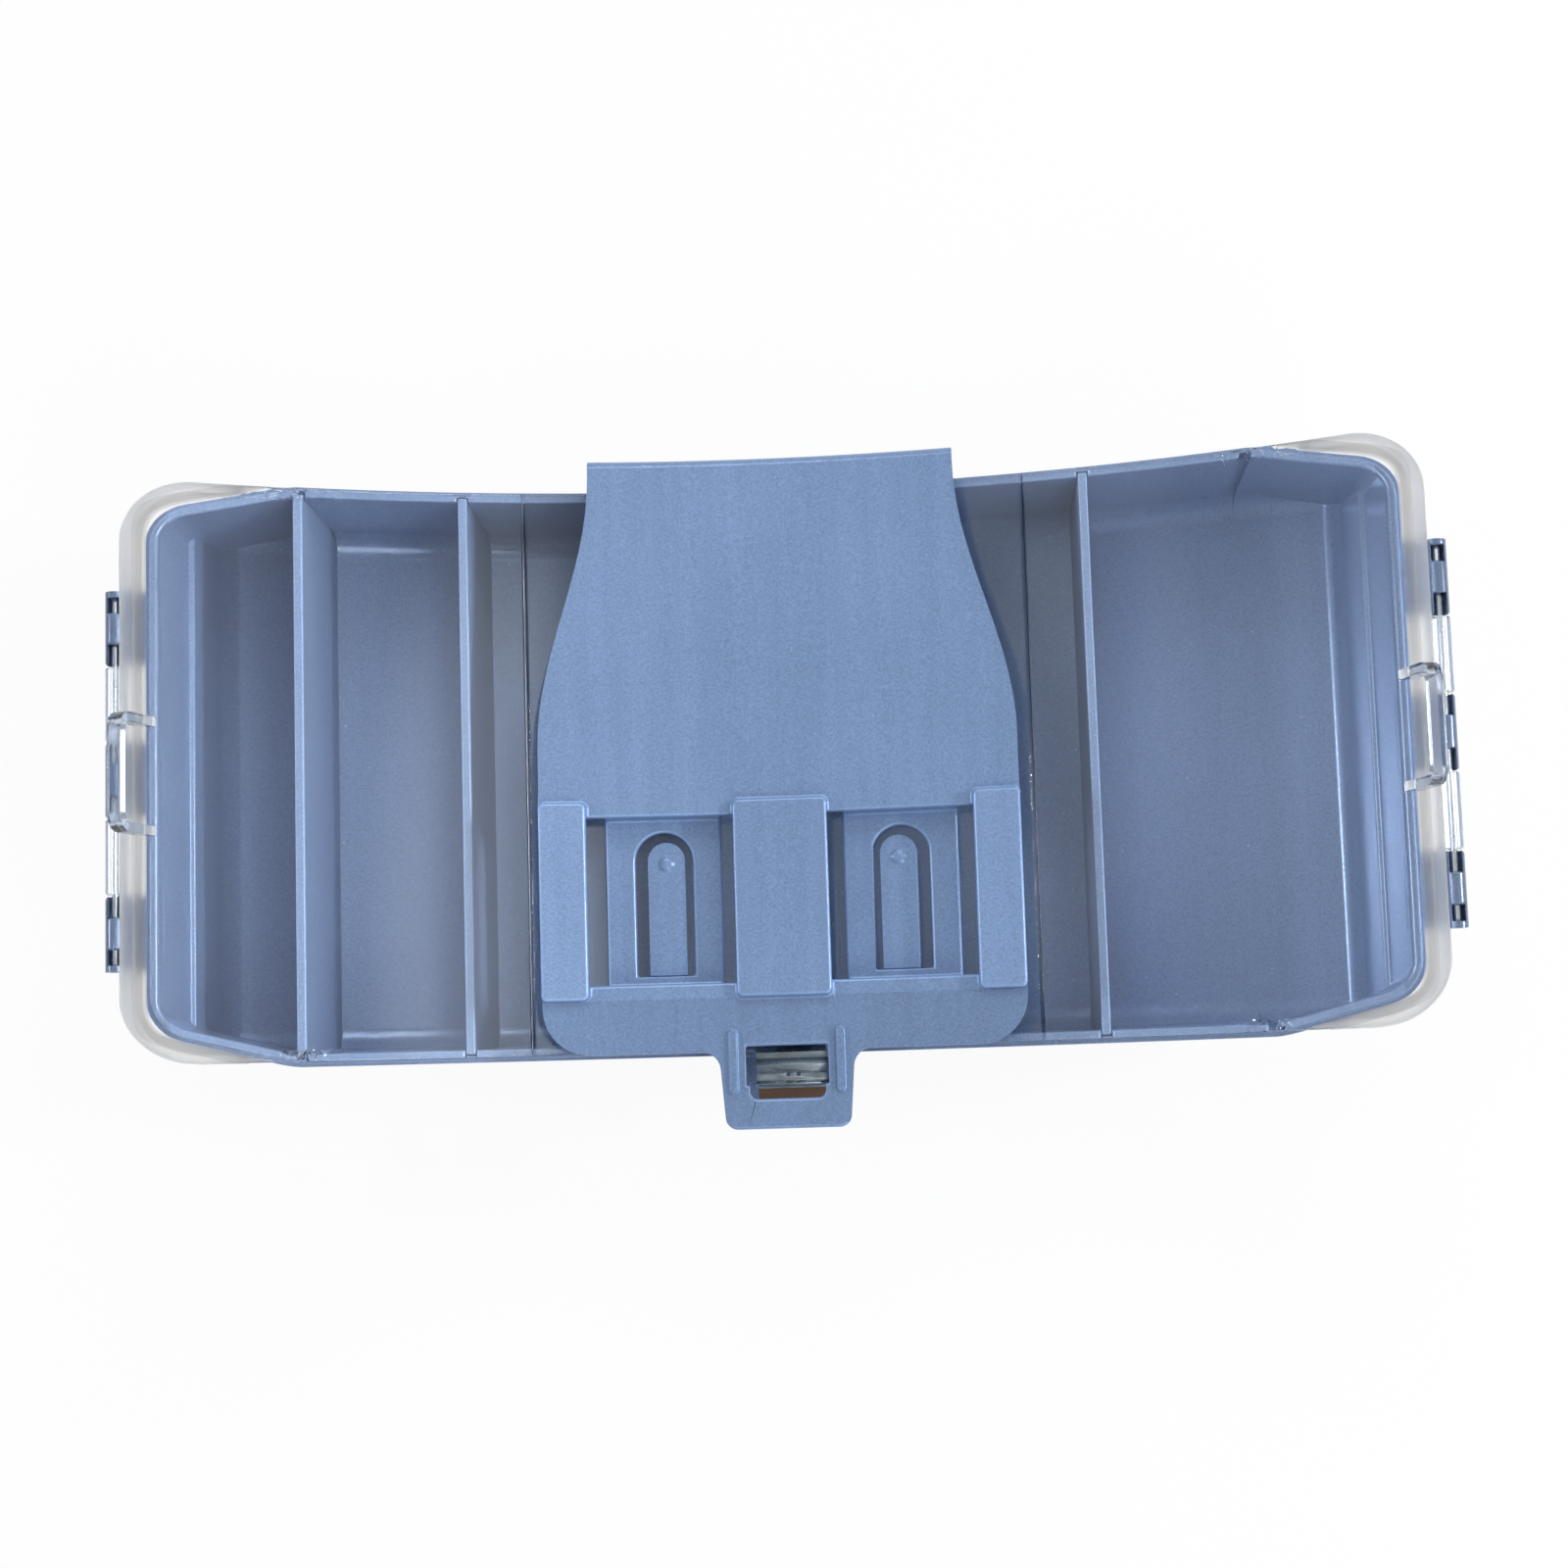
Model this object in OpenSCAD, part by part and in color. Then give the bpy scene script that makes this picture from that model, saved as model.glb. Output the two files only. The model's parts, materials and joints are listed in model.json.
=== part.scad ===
// Curved compartment case worn on a belt.
// X runs along the case, Y across it, Z out of the mouth, towards the wearer.
// The mouth is part of a cylinder about an axis parallel to Y, and a height above that
// cylinder, towards the axis, is called a lift. The origin is the middle of the foot.

/* [Case] */
// Radius of the mouth's curve
mouth_r = 250; // [230:1:320]
// Length of the tub at the mouth
tub_l = 248; // [236:1:260]
// Width of the tub at the mouth
tub_w = 118; // [112:1:126]
// Depth of the compartments below the mouth
bay_depth = 31; // [26:0.5:36]
// Thickness of the tub's walls
tub_wall = 2.6; // [2.2:0.1:3.2]
// Thickness of the tub's floor
floor_t = 2.4; // [1.8:0.1:3.2]
// Draft that an end wall has over its whole depth
end_draft = 3; // [1:0.1:4]
// Draft that a long wall has over its whole depth
side_draft = 1.4; // [0.4:0.1:2]
// Radius between the walls and the floor, inside
bay_fillet = 5; // [3:0.5:7]
// Radius along the tub's outer lower edges
belly_fillet = 6.5; // [4:0.5:9]
// Radius of the tub's corners, seen from above
tub_corner_r = 9.5; // [8:0.5:12]
// Length over which the long walls draw in towards an end
tub_taper_l = 26.5; // [24:0.5:27]
// How far each long wall draws in over that length
tub_taper_in = 7; // [5:0.5:8]
// Radius of the long walls where they start to draw in
tub_taper_r = 25; // [15:1:30]
// Width of the ledge half-way down an end wall, inside
end_ledge = 1.1; // [0.8:0.1:1.4]
// Width of the step along the outside of the long walls' tops
rim_step_w = 1.1; // [0.8:0.1:1.4]
// Depth of that step
rim_step_h = 1.6; // [1:0.1:2.4]
// Length of the flat foot under the belly, along X
foot_l = 56; // [40:1:70]
// Width of the flat foot, along Y
foot_w = 88; // [60:1:100]
// Height of the foot's middle below the belly
foot_proud = 0.6; // [0.4:0.1:1.2]

/* [Dividers] */
// Distance from the tub's end to the outer divider groove
groove_in = 28; // [28:0.5:31]
// Distance from an outer groove to the next one
groove_pitch = 32; // [28:1:33]
// Thickness of a divider
divider_t = 1.8; // [1.4:0.1:2.2]
// Depth of the grooves in the long walls
groove_depth = 1; // [0.6:0.1:1.2]
// Play of a divider in its grooves, each side
divider_play = 0.15; // [0.1:0.05:0.25]

/* [Lids] */
// Thickness of the lids and of the centre cover
lid_t = 1.8; // [1.4:0.1:2.2]
// Gap between the tub's rim and the lids
lid_gap = 0.3; // [0.3:0.05:0.5]
// How far a lid's end stands out past the tub's end
lid_overhang = 3.3; // [3:0.1:4.5]
// Radius of a lid's corners
lid_corner_r = 13; // [11:0.5:14]
// Thickness of a lid's skirt
skirt_t = 1.6; // [1.2:0.1:2]
// Depth of the skirt below the mouth
skirt_depth = 4.2; // [3.5:0.1:4.4]
// Clearance between the skirt and the tub
skirt_gap = 0.45; // [0.35:0.05:0.6]
// Length of the skirt along each long side, from the lid's end
skirt_reach = 21; // [18:0.5:22]
// Half the length of the fixed centre cover
cover_half = 51.6; // [51:0.1:56]
// Gap at the seam between a lid and the centre cover
seam_gap = 0.35; // [0.35:0.05:0.6]
// Lean of the seam away from the vertical, in degrees
seam_lean = 17; // [14:0.5:22]

/* [Lid hinges] */
// Where the middle of the lid hinges lies along Y
hinge_y = -1.7; // [-3:0.1:1]
// Diameter of the hinge pins
pin_d = 1.5; // [1.2:0.1:1.8]
// Running clearance of a pin, in radius
pin_clear = 0.06; // [0.03:0.01:0.1]
// Distance from the tub's end to the hinge axis
pin_out = 6.3; // [6:0.1:7]
// Depth of the hinge axis below the mouth at the tub's end
pin_drop = 3.6; // [3:0.1:4.5]
// Radius of the knuckles
knuckle_r = 1.95; // [1.7:0.05:2.2]
// Length of a tub knuckle
tub_knuckle_l = 14.8; // [13:0.1:16]
// Length of a lid knuckle, with its play
lid_knuckle_l = 15.6; // [14:0.1:17]
// Play between neighbouring knuckles
knuckle_play = 0.35; // [0.3:0.05:0.5]
// Length of the open window near each end of a tub knuckle
window_l = 4.1; // [3:0.1:4.6]
// End wall left outside the outermost windows
window_end = 1.2; // [0.8:0.1:1.6]

/* [Pull loops] */
// Length of a pull loop, along Y
loop_l = 23.4; // [20:0.2:26]
// Height of a loop above the lid
loop_h = 13; // [12.4:0.1:14]
// Thickness of a loop's legs and bar
loop_t = 1.9; // [1.6:0.1:2.4]
// Width of a loop's legs and bar
loop_w = 3.2; // [2.6:0.1:3.8]
// Lean of a loop, outwards from upright, in degrees
loop_lean = 15.5; // [12:0.5:22]
// Distance from the lid's end to a loop's root
loop_in = 5.1; // [4.5:0.1:6.5]

/* [Belt plate] */
// Lift of the plate's outer face above the mouth
plate_lift = 10.2; // [9.8:0.1:10.6]
// Thickness of the plate
plate_t = 2.2; // [1.8:0.1:2.4]
// Half the plate's greatest length
plate_half = 48.3; // [46:0.1:49.4]
// Half the plate's length at its hinged edge
plate_neck = 37.3; // [35:0.1:40]
// How far the plate's hinged edge stands out past the tub's side
plate_top_out = 4; // [3.9:0.05:4.6]
// How far the plate's free edge lies inside the tub's other side
plate_bottom_in = 0.6; // [0:0.1:2]
// Radius of the plate's free corners
plate_corner_r = 9.5; // [7:0.5:12]
// Where the plate starts to narrow
plate_shoulder = 3; // [0:0.5:8]
// Length of the plate's straight part at its hinged edge
plate_collar = 3; // [2:0.5:7]
// Radius of the bend along the hinged edge
plate_bend_r = 2; // [1:0.1:2.2]

/* [Belt passage] */
// Height of the opening, which sets the widest belt
belt_w = 33.8; // [32:0.2:36]
// Clear thickness of the belt passage
belt_t = 5.2; // [4.8:0.1:5.6]
// Distance from the plate's free edge to the opening
belt_in = 13.9; // [12.5:0.1:15]
// Width of the middle bar
bar_mid_w = 19; // [17:0.2:20]
// Width of a side bar
bar_side_w = 9.4; // [8:0.1:10.5]
// Thickness of the bars
bar_t = 2; // [1.6:0.1:2.4]
// How far a bar runs past the opening at each end
bar_lap = 3; // [2:0.1:3.6]
// Width of a sunk pad
pad_w = 23.4; // [22:0.2:25]
// Distance from the middle to a sunk pad's middle
pad_x = 24.1; // [23.2:0.1:24.4]
// Thickness of a sunk pad
pad_t = 1.7; // [1.4:0.1:1.9]
// Width of a spring tongue
tongue_w = 7.6; // [6.6:0.2:8.4]
// Width of the slot round a tongue
slot_w = 2; // [1.6:0.1:2.4]
// Length of a tongue, from its root to its tip
tongue_l = 27.2; // [25:0.2:27.4]
// Distance from the opening's lower edge to a tongue's root
tongue_root = 1.8; // [1.4:0.1:2.4]
// Radius of the bump near a tongue's tip
bump_r = 2; // [1.4:0.1:2.4]
// Height of that bump
bump_h = 0.7; // [0.4:0.1:0.9]

/* [Plate hinge] */
// Diameter of the plate's hinge pin
plate_pin_d = 1.8; // [1.5:0.1:2]
// Distance from the tub's side to the plate's hinge axis
plate_pin_out = 2.2; // [2.15:0.05:2.4]
// Depth of the plate's hinge axis below the middle of the mouth
plate_pin_drop = 2.6; // [2.2:0.1:3.4]
// Radius of the plate hinge's knuckles
plate_knuckle_r = 1.8; // [1.7:0.05:1.9]
// Half the length of the plate's hinge
plate_hinge_half = 33; // [28:1:35]
// Number of knuckles on the plate's hinge
plate_knuckles = 5; // [3:2:7]

/* [Tab and catch] */
// Length of the tab past the plate's free edge
tab_l = 15.5; // [14:0.1:17]
// Half the tab's length at its root
tab_half = 13.6; // [13.2:0.1:15]
// Half the tab's length at its tip
tab_tip_half = 12.4; // [11.8:0.1:13]
// Radius of the tab's tip corners
tab_corner_r = 2.4; // [1.6:0.1:3.2]
// Radius where the tab meets the plate
tab_fillet = 3.6; // [2:0.1:4]
// Width of the window in the tab
win_w = 16.6; // [15:0.1:18]
// Height of the window
win_h = 7.8; // [7:0.1:8.4]
// How far the window's outer edge lies past the tub's side
win_out = 6.2; // [5.8:0.1:6.8]
// Height of the slot below the window
lip_slot_h = 2.7; // [2.4:0.1:3.4]
// Width of the tab's two ribs
rib_w = 1.6; // [1.2:0.1:2]
// Length of those ribs
rib_l = 12.6; // [10:0.1:14]
// Height of those ribs
rib_h = 0.8; // [0.5:0.1:1.2]
// Distance between the ribs' middles
rib_gap = 21.4; // [20.6:0.1:22.4]
// Thickness of the catch's steel
steel_t = 0.6; // [0.5:0.05:0.8]
// Thickness of the rib that the catch grips
striker_t = 2.2; // [1.8:0.1:2.6]
// Clearance of the catch on that rib, each side
striker_gap = 0.5; // [0.45:0.05:0.6]
// Length of that rib, along X
striker_l = 12; // [9:0.5:13]
// How far the catch sits off the middle of its window
catch_shift = 1; // [0:0.1:1.4]
// How far the catch reaches over that rib
catch_grip = 5; // [3:0.1:6]

/* [Hidden] */

blue = "#7285a8";
clear = [0.86, 0.88, 0.88, 0.35];
steel = "#c9ccd0";

arc_fn = 360;
round_fn = 64;
small_fn = 32;
over = 1; // how far a cutting shape runs past what it cuts
hair = 0.03; // keeps two faces off each other where they would meet exactly

half_l = tub_l / 2;
half_w = tub_w / 2;
mouth_z = bay_depth + floor_t + foot_proud;
axis_z = mouth_z + mouth_r;
floor_r = mouth_r + bay_depth;
belly_r = floor_r + floor_t;
lid_x = half_l + lid_overhang;
lid_top = lid_gap + lid_t;
lid_side = half_w - rim_step_w;

// Height of the surface at a lift above the mouth
function arc_z(x, lift = 0) = axis_z - sqrt(pow(mouth_r - lift, 2) - x * x);
// Angle of the surface from level
function arc_angle(x, lift = 0) = asin(x / (mouth_r - lift));

pin_x = half_l + pin_out;
pin_z = arc_z(half_l) - pin_drop;
pin_r = pin_d / 2;
knuckle_pitch = tub_knuckle_l + lid_knuckle_l;
hinge_half = knuckle_pitch + tub_knuckle_l / 2;

groove_outer = half_l - groove_in;
groove_inner = groove_outer - groove_pitch;
groove_xs = [-groove_outer, -groove_inner, groove_inner, groove_outer];
divider_xs = [-groove_outer, -groove_inner, groove_inner];

plate_top = half_w + plate_top_out;
plate_bottom = half_w - plate_bottom_in;
neck_y = plate_top - plate_collar;
belt_lo = belt_in - plate_bottom;
belt_hi = belt_lo + belt_w;
belt_y = (belt_lo + belt_hi) / 2;
pad_top = plate_lift - belt_t;
pad_under = pad_top - pad_t;
root_y = belt_lo + tongue_root;
root_gap = 0.1;

plate_pin_y = half_w + plate_pin_out;
plate_pin_z = mouth_z - plate_pin_drop;
plate_knuckle_l = 2 * plate_hinge_half / plate_knuckles;
stop_toe_l = 4.6;
stop_toe_t = 1.6;
flange_in = plate_pin_y + 0.1;

tab_end = plate_bottom + tab_l;
plate_under_z = mouth_z + plate_lift - plate_t;
catch_z = plate_under_z - 0.3;
catch_half = win_w / 2 - 0.9;
lip_half = catch_half - 0.9;
lip_shift = catch_shift - catch_half + lip_half;
win_far = half_w + win_out;
leg_y = win_far - 0.2;
flare_out = 2.9;
shelf_half = win_w / 2 + 1.3;
shelf_out = leg_y + flare_out + 0.7;
striker_out = leg_y - steel_t - striker_gap;
inner_leg_y = striker_out - striker_t - striker_gap;
striker_top = catch_z - steel_t - 1.6;
leg_low = striker_top - catch_grip;
rivet_r = 0.8;
rivet_y = half_w - 3.7;
rivet_drop = 2.4;
rivet_boss_r = 1.7;
rivet_xs = [catch_shift - 5, catch_shift + 5];

lip_rise = 0.9;

screw_signs = [[-1, 1], [1, 1], [-1, -1], [1, -1]];
cover_screw_x = 31;
cover_screw_y = half_w - 7;
screw_r = 1.25;
screw_head_r = 2.3;
screw_head_h = 1.5;
screw_l = 8;
boss_r = 3.4;

// A point rounded off between its neighbours, as the points of an arc
function unit(v) = v / norm(v);
function corner_arc(a, b, c, r, n) =
    r <= 0 ? [b] :
    let (u = unit(a - b), w = unit(c - b), half = acos(u * w) / 2,
         o = b + unit(u + w) * r / sin(half),
         s = b + u * r / tan(half) - o, e = b + w * r / tan(half) - o,
         from = atan2(s.y, s.x), turn = (atan2(e.y, e.x) - from + 540) % 360 - 180)
    [for (i = [0 : n]) o + r * [cos(from + turn * i / n), sin(from + turn * i / n)]];
function rounded(points, radii, n = 8) =
    let (m = len(points))
    [for (i = [0 : m - 1])
        each corner_arc(points[(i + m - 1) % m], points[i], points[(i + 1) % m], radii[i], n)];

// A flat shape drawn in X and Z, pulled out along Y about the middle
module along_y(length) {
    rotate([90, 0, 0]) linear_extrude(length, center = true) children();
}

// A profile of radius and Y, turned about the mouth's axis
module about_axis() {
    translate([0, 0, axis_z]) rotate([90, 0, 0]) rotate_extrude($fn = arc_fn) children();
}

// A round solid along Y that fills the mouth's cylinder up to a lift
module arc_fill(lift, length = 3 * half_w) {
    along_y(length) translate([0, axis_z]) circle(r = mouth_r - lift, $fn = arc_fn);
}

// A curved sheet between two lifts, over a plan shape
module arc_sheet(lift_low, lift_high) {
    difference() {
        intersection() {
            linear_extrude(axis_z / 2) children();
            arc_fill(lift_low);
        }
        arc_fill(lift_high, 4 * half_w);
    }
}

// Children drawn on a level spot are set on the curve at x
module on_curve(x) {
    translate([0, 0, axis_z]) rotate([0, -arc_angle(x), 0]) translate([0, 0, -mouth_r]) children();
}

// Children drawn upright at the mouth are set at one of the cover's four screws
module at_screw(i) {
    on_curve(screw_signs[i].x * cover_screw_x) translate([0, screw_signs[i].y * cover_screw_y, 0])
        children();
}

module rod_y(x, z, r, length, fn = small_fn) {
    translate([x, 0, z]) rotate([90, 0, 0]) cylinder(r = r, h = length, center = true, $fn = fn);
}

module rod_x(y, z, r, length, fn = small_fn) {
    translate([0, y, z]) rotate([0, 90, 0]) cylinder(r = r, h = length, center = true, $fn = fn);
}

module box(low, high) {
    translate(low) cube(high - low);
}

module round_rect(half_x, half_y, r) {
    square([2 * (half_x - r), 2 * half_y], center = true);
    square([2 * half_x, 2 * (half_y - r)], center = true);
    for (sx = [-1, 1], sy = [-1, 1])
        translate([sx * (half_x - r), sy * (half_y - r)]) circle(r = r, $fn = round_fn);
}

// The tub's outline from above: straight sides that draw in to the ends, and rounded corners
taper_angle = atan(tub_taper_in / tub_taper_l);
function four_ways(q) =
    concat(q, [for (i = [len(q) - 1 : -1 : 0]) [q[i].x, -q[i].y]], -q,
           [for (i = [len(q) - 1 : -1 : 0]) [-q[i].x, q[i].y]]);
module tub_plan(grow = 0) {
    side = half_w + grow;
    end = half_l + grow;
    draw = [half_l - tub_taper_l + grow * tan(taper_angle / 2), side];
    corner = [end, half_w - tub_taper_in + grow / cos(taper_angle) - grow * tan(taper_angle)];
    polygon(four_ways(concat(corner_arc([0, side], draw, corner, tub_taper_r + grow, 4),
                             corner_arc(draw, corner, [end, 0], tub_corner_r + grow, 9))));
}

// The tub's outline from the side: drafted ends, rounded into the belly or the floor
module end_profile(inset, arc_r, fillet, ledge) {
    low_x = half_l - inset - end_draft - ledge;
    low_z = axis_z - sqrt(arc_r * arc_r - low_x * low_x);
    slope = asin(low_x / arc_r);
    mid_x = half_l - inset - end_draft / 2;
    mid_z = (arc_z(half_l) + low_z) / 2;
    high_x = half_l - inset + end_draft;
    high_z = low_z + 2 * (arc_z(half_l) - low_z);
    ledge_r = ledge > 0 ? 0.6 * end_ledge : 0;
    side = rounded([[0, high_z], [high_x, high_z], [mid_x, mid_z], [mid_x - ledge, mid_z - ledge / 2],
                    [low_x, low_z], [0, low_z - low_x * tan(slope)]],
                   [0, 0, ledge_r, ledge_r, fillet, 0]);
    flat = [for (i = [0 : len(side) - 1]) if (i == 0 || norm(side[i] - side[max(i - 1, 0)]) > hair) side[i]];
    polygon(concat(flat, [for (i = [len(flat) - 2 : -1 : 1]) [-flat[i].x, flat[i].y]]));
}

module side_profile(inset, arc_r, fillet, rise) {
    low_y = half_w - inset - side_draft;
    high_y = half_w - inset;
    polygon(rounded([[mouth_r - rise, -high_y], [mouth_r, -high_y], [arc_r, -low_y], [arc_r, low_y],
                     [mouth_r, high_y], [mouth_r - rise, high_y]],
                    [0, 0, fillet, fillet, 0, 0]));
}

module tub_body() {
    intersection() {
        linear_extrude(axis_z / 2) tub_plan();
        along_y(3 * half_w) end_profile(0, belly_r, belly_fillet + 1.5, 0);
        about_axis() side_profile(hair, belly_r, belly_fillet, 3);
    }
}

module tub_bays() {
    intersection() {
        linear_extrude(axis_z / 2) tub_plan(-tub_wall);
        along_y(3 * half_w) end_profile(tub_wall, floor_r, bay_fillet + 2, end_ledge);
        about_axis() side_profile(tub_wall + hair, floor_r, bay_fillet, 5);
    }
}

module divider_grooves() {
    for (x = groove_xs)
        intersection() {
            box([x - divider_t / 2 - divider_play, -half_w, 0],
                [x + divider_t / 2 + divider_play, half_w, axis_z / 2]);
            about_axis() side_profile(tub_wall - groove_depth, floor_r, bay_fillet, 5);
        }
}

// A tub knuckle is closed in its middle and open to the mouth's side near its ends
module tub_knuckle(k) {
    half = tub_knuckle_l / 2;
    side = knuckle_r - 0.65;
    translate([0, k * knuckle_pitch, 0]) difference() {
        union() {
            rod_y(pin_x, pin_z, knuckle_r, tub_knuckle_l);
            box([half_l - end_draft, -half, pin_z - knuckle_r], [pin_x, half, pin_z - 0.75]);
        }
        for (end = [-1, 1]) {
            closed = k * end == 1;
            from = closed ? half - window_end - 0.75 * window_l : half - window_l;
            to = closed ? half - window_end : half + over;
            box([pin_x - side, min(end * from, end * to), pin_z - pin_r - 0.25],
                [pin_x + side, max(end * from, end * to), pin_z + knuckle_r + over]);
        }
    }
}

module plate_hinge_knuckle(i) {
    x = -plate_hinge_half + (i + 0.5) * plate_knuckle_l;
    length = plate_knuckle_l - knuckle_play;
    translate([x, 0, 0]) rod_x(plate_pin_y, plate_pin_z, plate_knuckle_r, length);
}

// A knuckle on the tub's long wall, with a toe that stops the plate when it stands upright
module tub_side_knuckle(i) {
    x = -plate_hinge_half + (i + 0.5) * plate_knuckle_l;
    half = (plate_knuckle_l - knuckle_play) / 2;
    stop_z = plate_pin_z - (plate_top - plate_pin_y) - 0.03;
    plate_hinge_knuckle(i);
    box([x - half, half_w - tub_wall / 2, stop_z - stop_toe_t], [x + half, plate_pin_y, plate_pin_z]);
    box([x - half, plate_pin_y - over, stop_z - stop_toe_t], [x + half, plate_pin_y + stop_toe_l, stop_z]);
}

// The rib that the catch grips stands on a shelf below the mouth
module striker() {
    shelf_in = -half_w + tub_wall / 2;
    shelf_high = mouth_z - rim_step_h - 1;
    translate([-shelf_half, 0, 0]) rotate([90, 0, 90]) linear_extrude(2 * shelf_half)
        polygon([[shelf_in, shelf_high], [-shelf_out, shelf_high], [-shelf_out, shelf_high - 1.6],
                 [shelf_in, shelf_high - 9]]);
    box([-striker_l / 2, -striker_out, shelf_high - over],
        [striker_l / 2, -striker_out + striker_t, striker_top]);
}

module tub() {
    color(blue) difference() {
        union() {
            difference() {
                union() {
                    tub_body();
                    linear_extrude((mouth_z - bay_depth + foot_proud) / 2 + 0.4)
                        round_rect(foot_l / 2, foot_w / 2, 6);
                }
                difference() {
                    tub_bays();
                    for (i = [0 : 3])
                        at_screw(i) translate([0, 0, -bay_depth - over])
                            cylinder(r = boss_r, h = bay_depth + over, $fn = small_fn);
                }
                divider_grooves();
                difference() {
                    arc_sheet(-rim_step_h, rim_step_h) tub_plan(over);
                    linear_extrude(axis_z / 2) tub_plan(-rim_step_w);
                }
                arc_fill(0);
            }
            for (side = [-1, 1], k = [-1 : 1])
                translate([0, hinge_y, 0]) scale([side, 1, 1]) tub_knuckle(k);
            for (i = [1 : 2 : plate_knuckles - 1]) tub_side_knuckle(i);
            striker();
        }
        for (side = [-1, 1])
            translate([0, hinge_y, 0]) rod_y(side * pin_x, pin_z, pin_r + pin_clear, 2 * hinge_half + over);
        rod_x(plate_pin_y, plate_pin_z, plate_pin_d / 2 + pin_clear, 2 * plate_hinge_half + over);
        for (i = [0 : 3])
            at_screw(i) translate([0, 0, lid_top - screw_l - over])
                cylinder(r = screw_r, h = screw_l + over, $fn = small_fn);
    }
}

// A divider fills the tub's section, less its play
module divider(i) {
    x = divider_xs[i];
    grow = groove_depth - divider_play;
    color(blue) intersection() {
        box([x - divider_t / 2, -half_w, 0], [x + divider_t / 2, half_w, axis_z / 2]);
        about_axis() side_profile(tub_wall - grow, floor_r - divider_play, bay_fillet, 0);
    }
}

// The plan of the lids and the centre cover together, less an inset
module lid_plan(inset = 0) {
    round_rect(lid_x - inset, lid_side - inset, lid_corner_r - inset);
}

// Everything on the far side of a leaning seam, drawn for the right lid
module beyond_seam(x) {
    foot = [x, arc_z(x, lid_gap)];
    lean = [-sin(seam_lean), cos(seam_lean)];
    along_y(4 * half_w)
        polygon([foot - 10 * lean, foot - 10 * lean + [2 * half_l, 0],
                 foot + [2 * half_l, axis_z / 2], foot + 10 * lean]);
}

module pull_loop() {
    root_x = lid_x - loop_in;
    translate([root_x, 0, arc_z(root_x, lid_top - 0.6)]) rotate([0, loop_lean, 0]) rotate([90, 0, 90])
        translate([0, 0, -loop_w / 2]) linear_extrude(loop_w) difference() {
            polygon(rounded([[-loop_l / 2, 0], [loop_l / 2, 0], [loop_l / 2, loop_h], [-loop_l / 2, loop_h]],
                            [0, 0, 3.5, 3.5]));
            polygon(rounded([[-loop_l / 2 + loop_t, -over], [loop_l / 2 - loop_t, -over],
                             [loop_l / 2 - loop_t, loop_h - loop_t], [-loop_l / 2 + loop_t, loop_h - loop_t]],
                            [0, 0, 2, 2]));
        }
}

module lid_skirt() {
    arc_sheet(-skirt_depth, lid_gap + 0.1) difference() {
        lid_plan();
        lid_plan(skirt_t);
        tub_plan(skirt_gap);
        square([2 * (lid_x - skirt_reach), 4 * half_w], center = true);
    }
}

module lid_knuckle(k) {
    half = lid_knuckle_l / 2 - knuckle_play;
    translate([0, (k + 0.5) * knuckle_pitch, 0]) {
        rod_y(pin_x, pin_z, knuckle_r, 2 * half);
        box([lid_x - skirt_t / 2, -half, pin_z], [pin_x, half, pin_z + knuckle_r]);
    }
}

module lid() {
    color(clear) difference() {
        union() {
            intersection() {
                union() {
                    arc_sheet(lid_gap, lid_top) lid_plan();
                    lid_skirt();
                }
                beyond_seam(cover_half + seam_gap);
            }
            translate([0, hinge_y, 0]) {
                for (k = [-1, 0]) lid_knuckle(k);
                pull_loop();
            }
        }
        translate([0, hinge_y, 0]) rod_y(pin_x, pin_z, pin_r + pin_clear, 2 * hinge_half + over);
    }
}

module lid_left() {
    scale([-1, 1, 1]) lid();
}

module lid_right() {
    lid();
}

module centre_cover() {
    color(clear) difference() {
        arc_sheet(lid_gap, lid_top) square([3 * cover_half, 2 * lid_side], center = true);
        for (side = [-1, 1]) scale([side, 1, 1]) beyond_seam(cover_half);
        for (i = [0 : 3])
            at_screw(i) cylinder(r = screw_r + 0.15, h = 3 * lid_top, center = true, $fn = small_fn);
    }
}

module cover_screw(i) {
    color(steel) at_screw(i) translate([0, 0, lid_top + 0.03]) difference() {
        union() {
            translate([0, 0, -screw_l]) cylinder(r = screw_r - 0.05, h = screw_l + 0.1, $fn = small_fn);
            cylinder(r = screw_head_r, h = screw_head_h, $fn = small_fn);
        }
        for (turn = [0, 90])
            rotate([0, 0, turn]) translate([-1.4, -0.3, screw_head_h - 0.7]) cube([2.8, 0.6, over]);
    }
}

module lid_pin(side) {
    color(steel) translate([0, hinge_y, 0]) rod_y(side * pin_x, pin_z, pin_r, 2 * hinge_half - 0.6);
}

// Half of the plate's outline: the sides swell in a cosine curve from the neck to the full length
plate_steps = 14;
function plate_side(y) =
    let (t = max(0, min(1, (neck_y - y) / (neck_y - plate_shoulder))))
    plate_neck + (plate_half - plate_neck) * (1 - cos(180 * t)) / 2;

module plate_plan() {
    side = [for (i = [0 : plate_steps])
        let (y = neck_y - (neck_y - plate_shoulder) * i / plate_steps)
        [plate_side(y), y]];
    half = concat([[plate_neck, plate_top]], side,
        corner_arc([plate_half, 0], [plate_half, -plate_bottom], [0, -plate_bottom], plate_corner_r, 10),
        corner_arc([plate_half, -plate_bottom], [tab_half, -plate_bottom], [tab_tip_half, -tab_end],
                   tab_fillet, 6),
        corner_arc([tab_half, -plate_bottom], [tab_tip_half, -tab_end], [0, -tab_end], tab_corner_r, 6));
    polygon(concat(half, [for (i = [len(half) - 1 : -1 : 0]) [-half[i].x, half[i].y]]));
}

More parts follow.
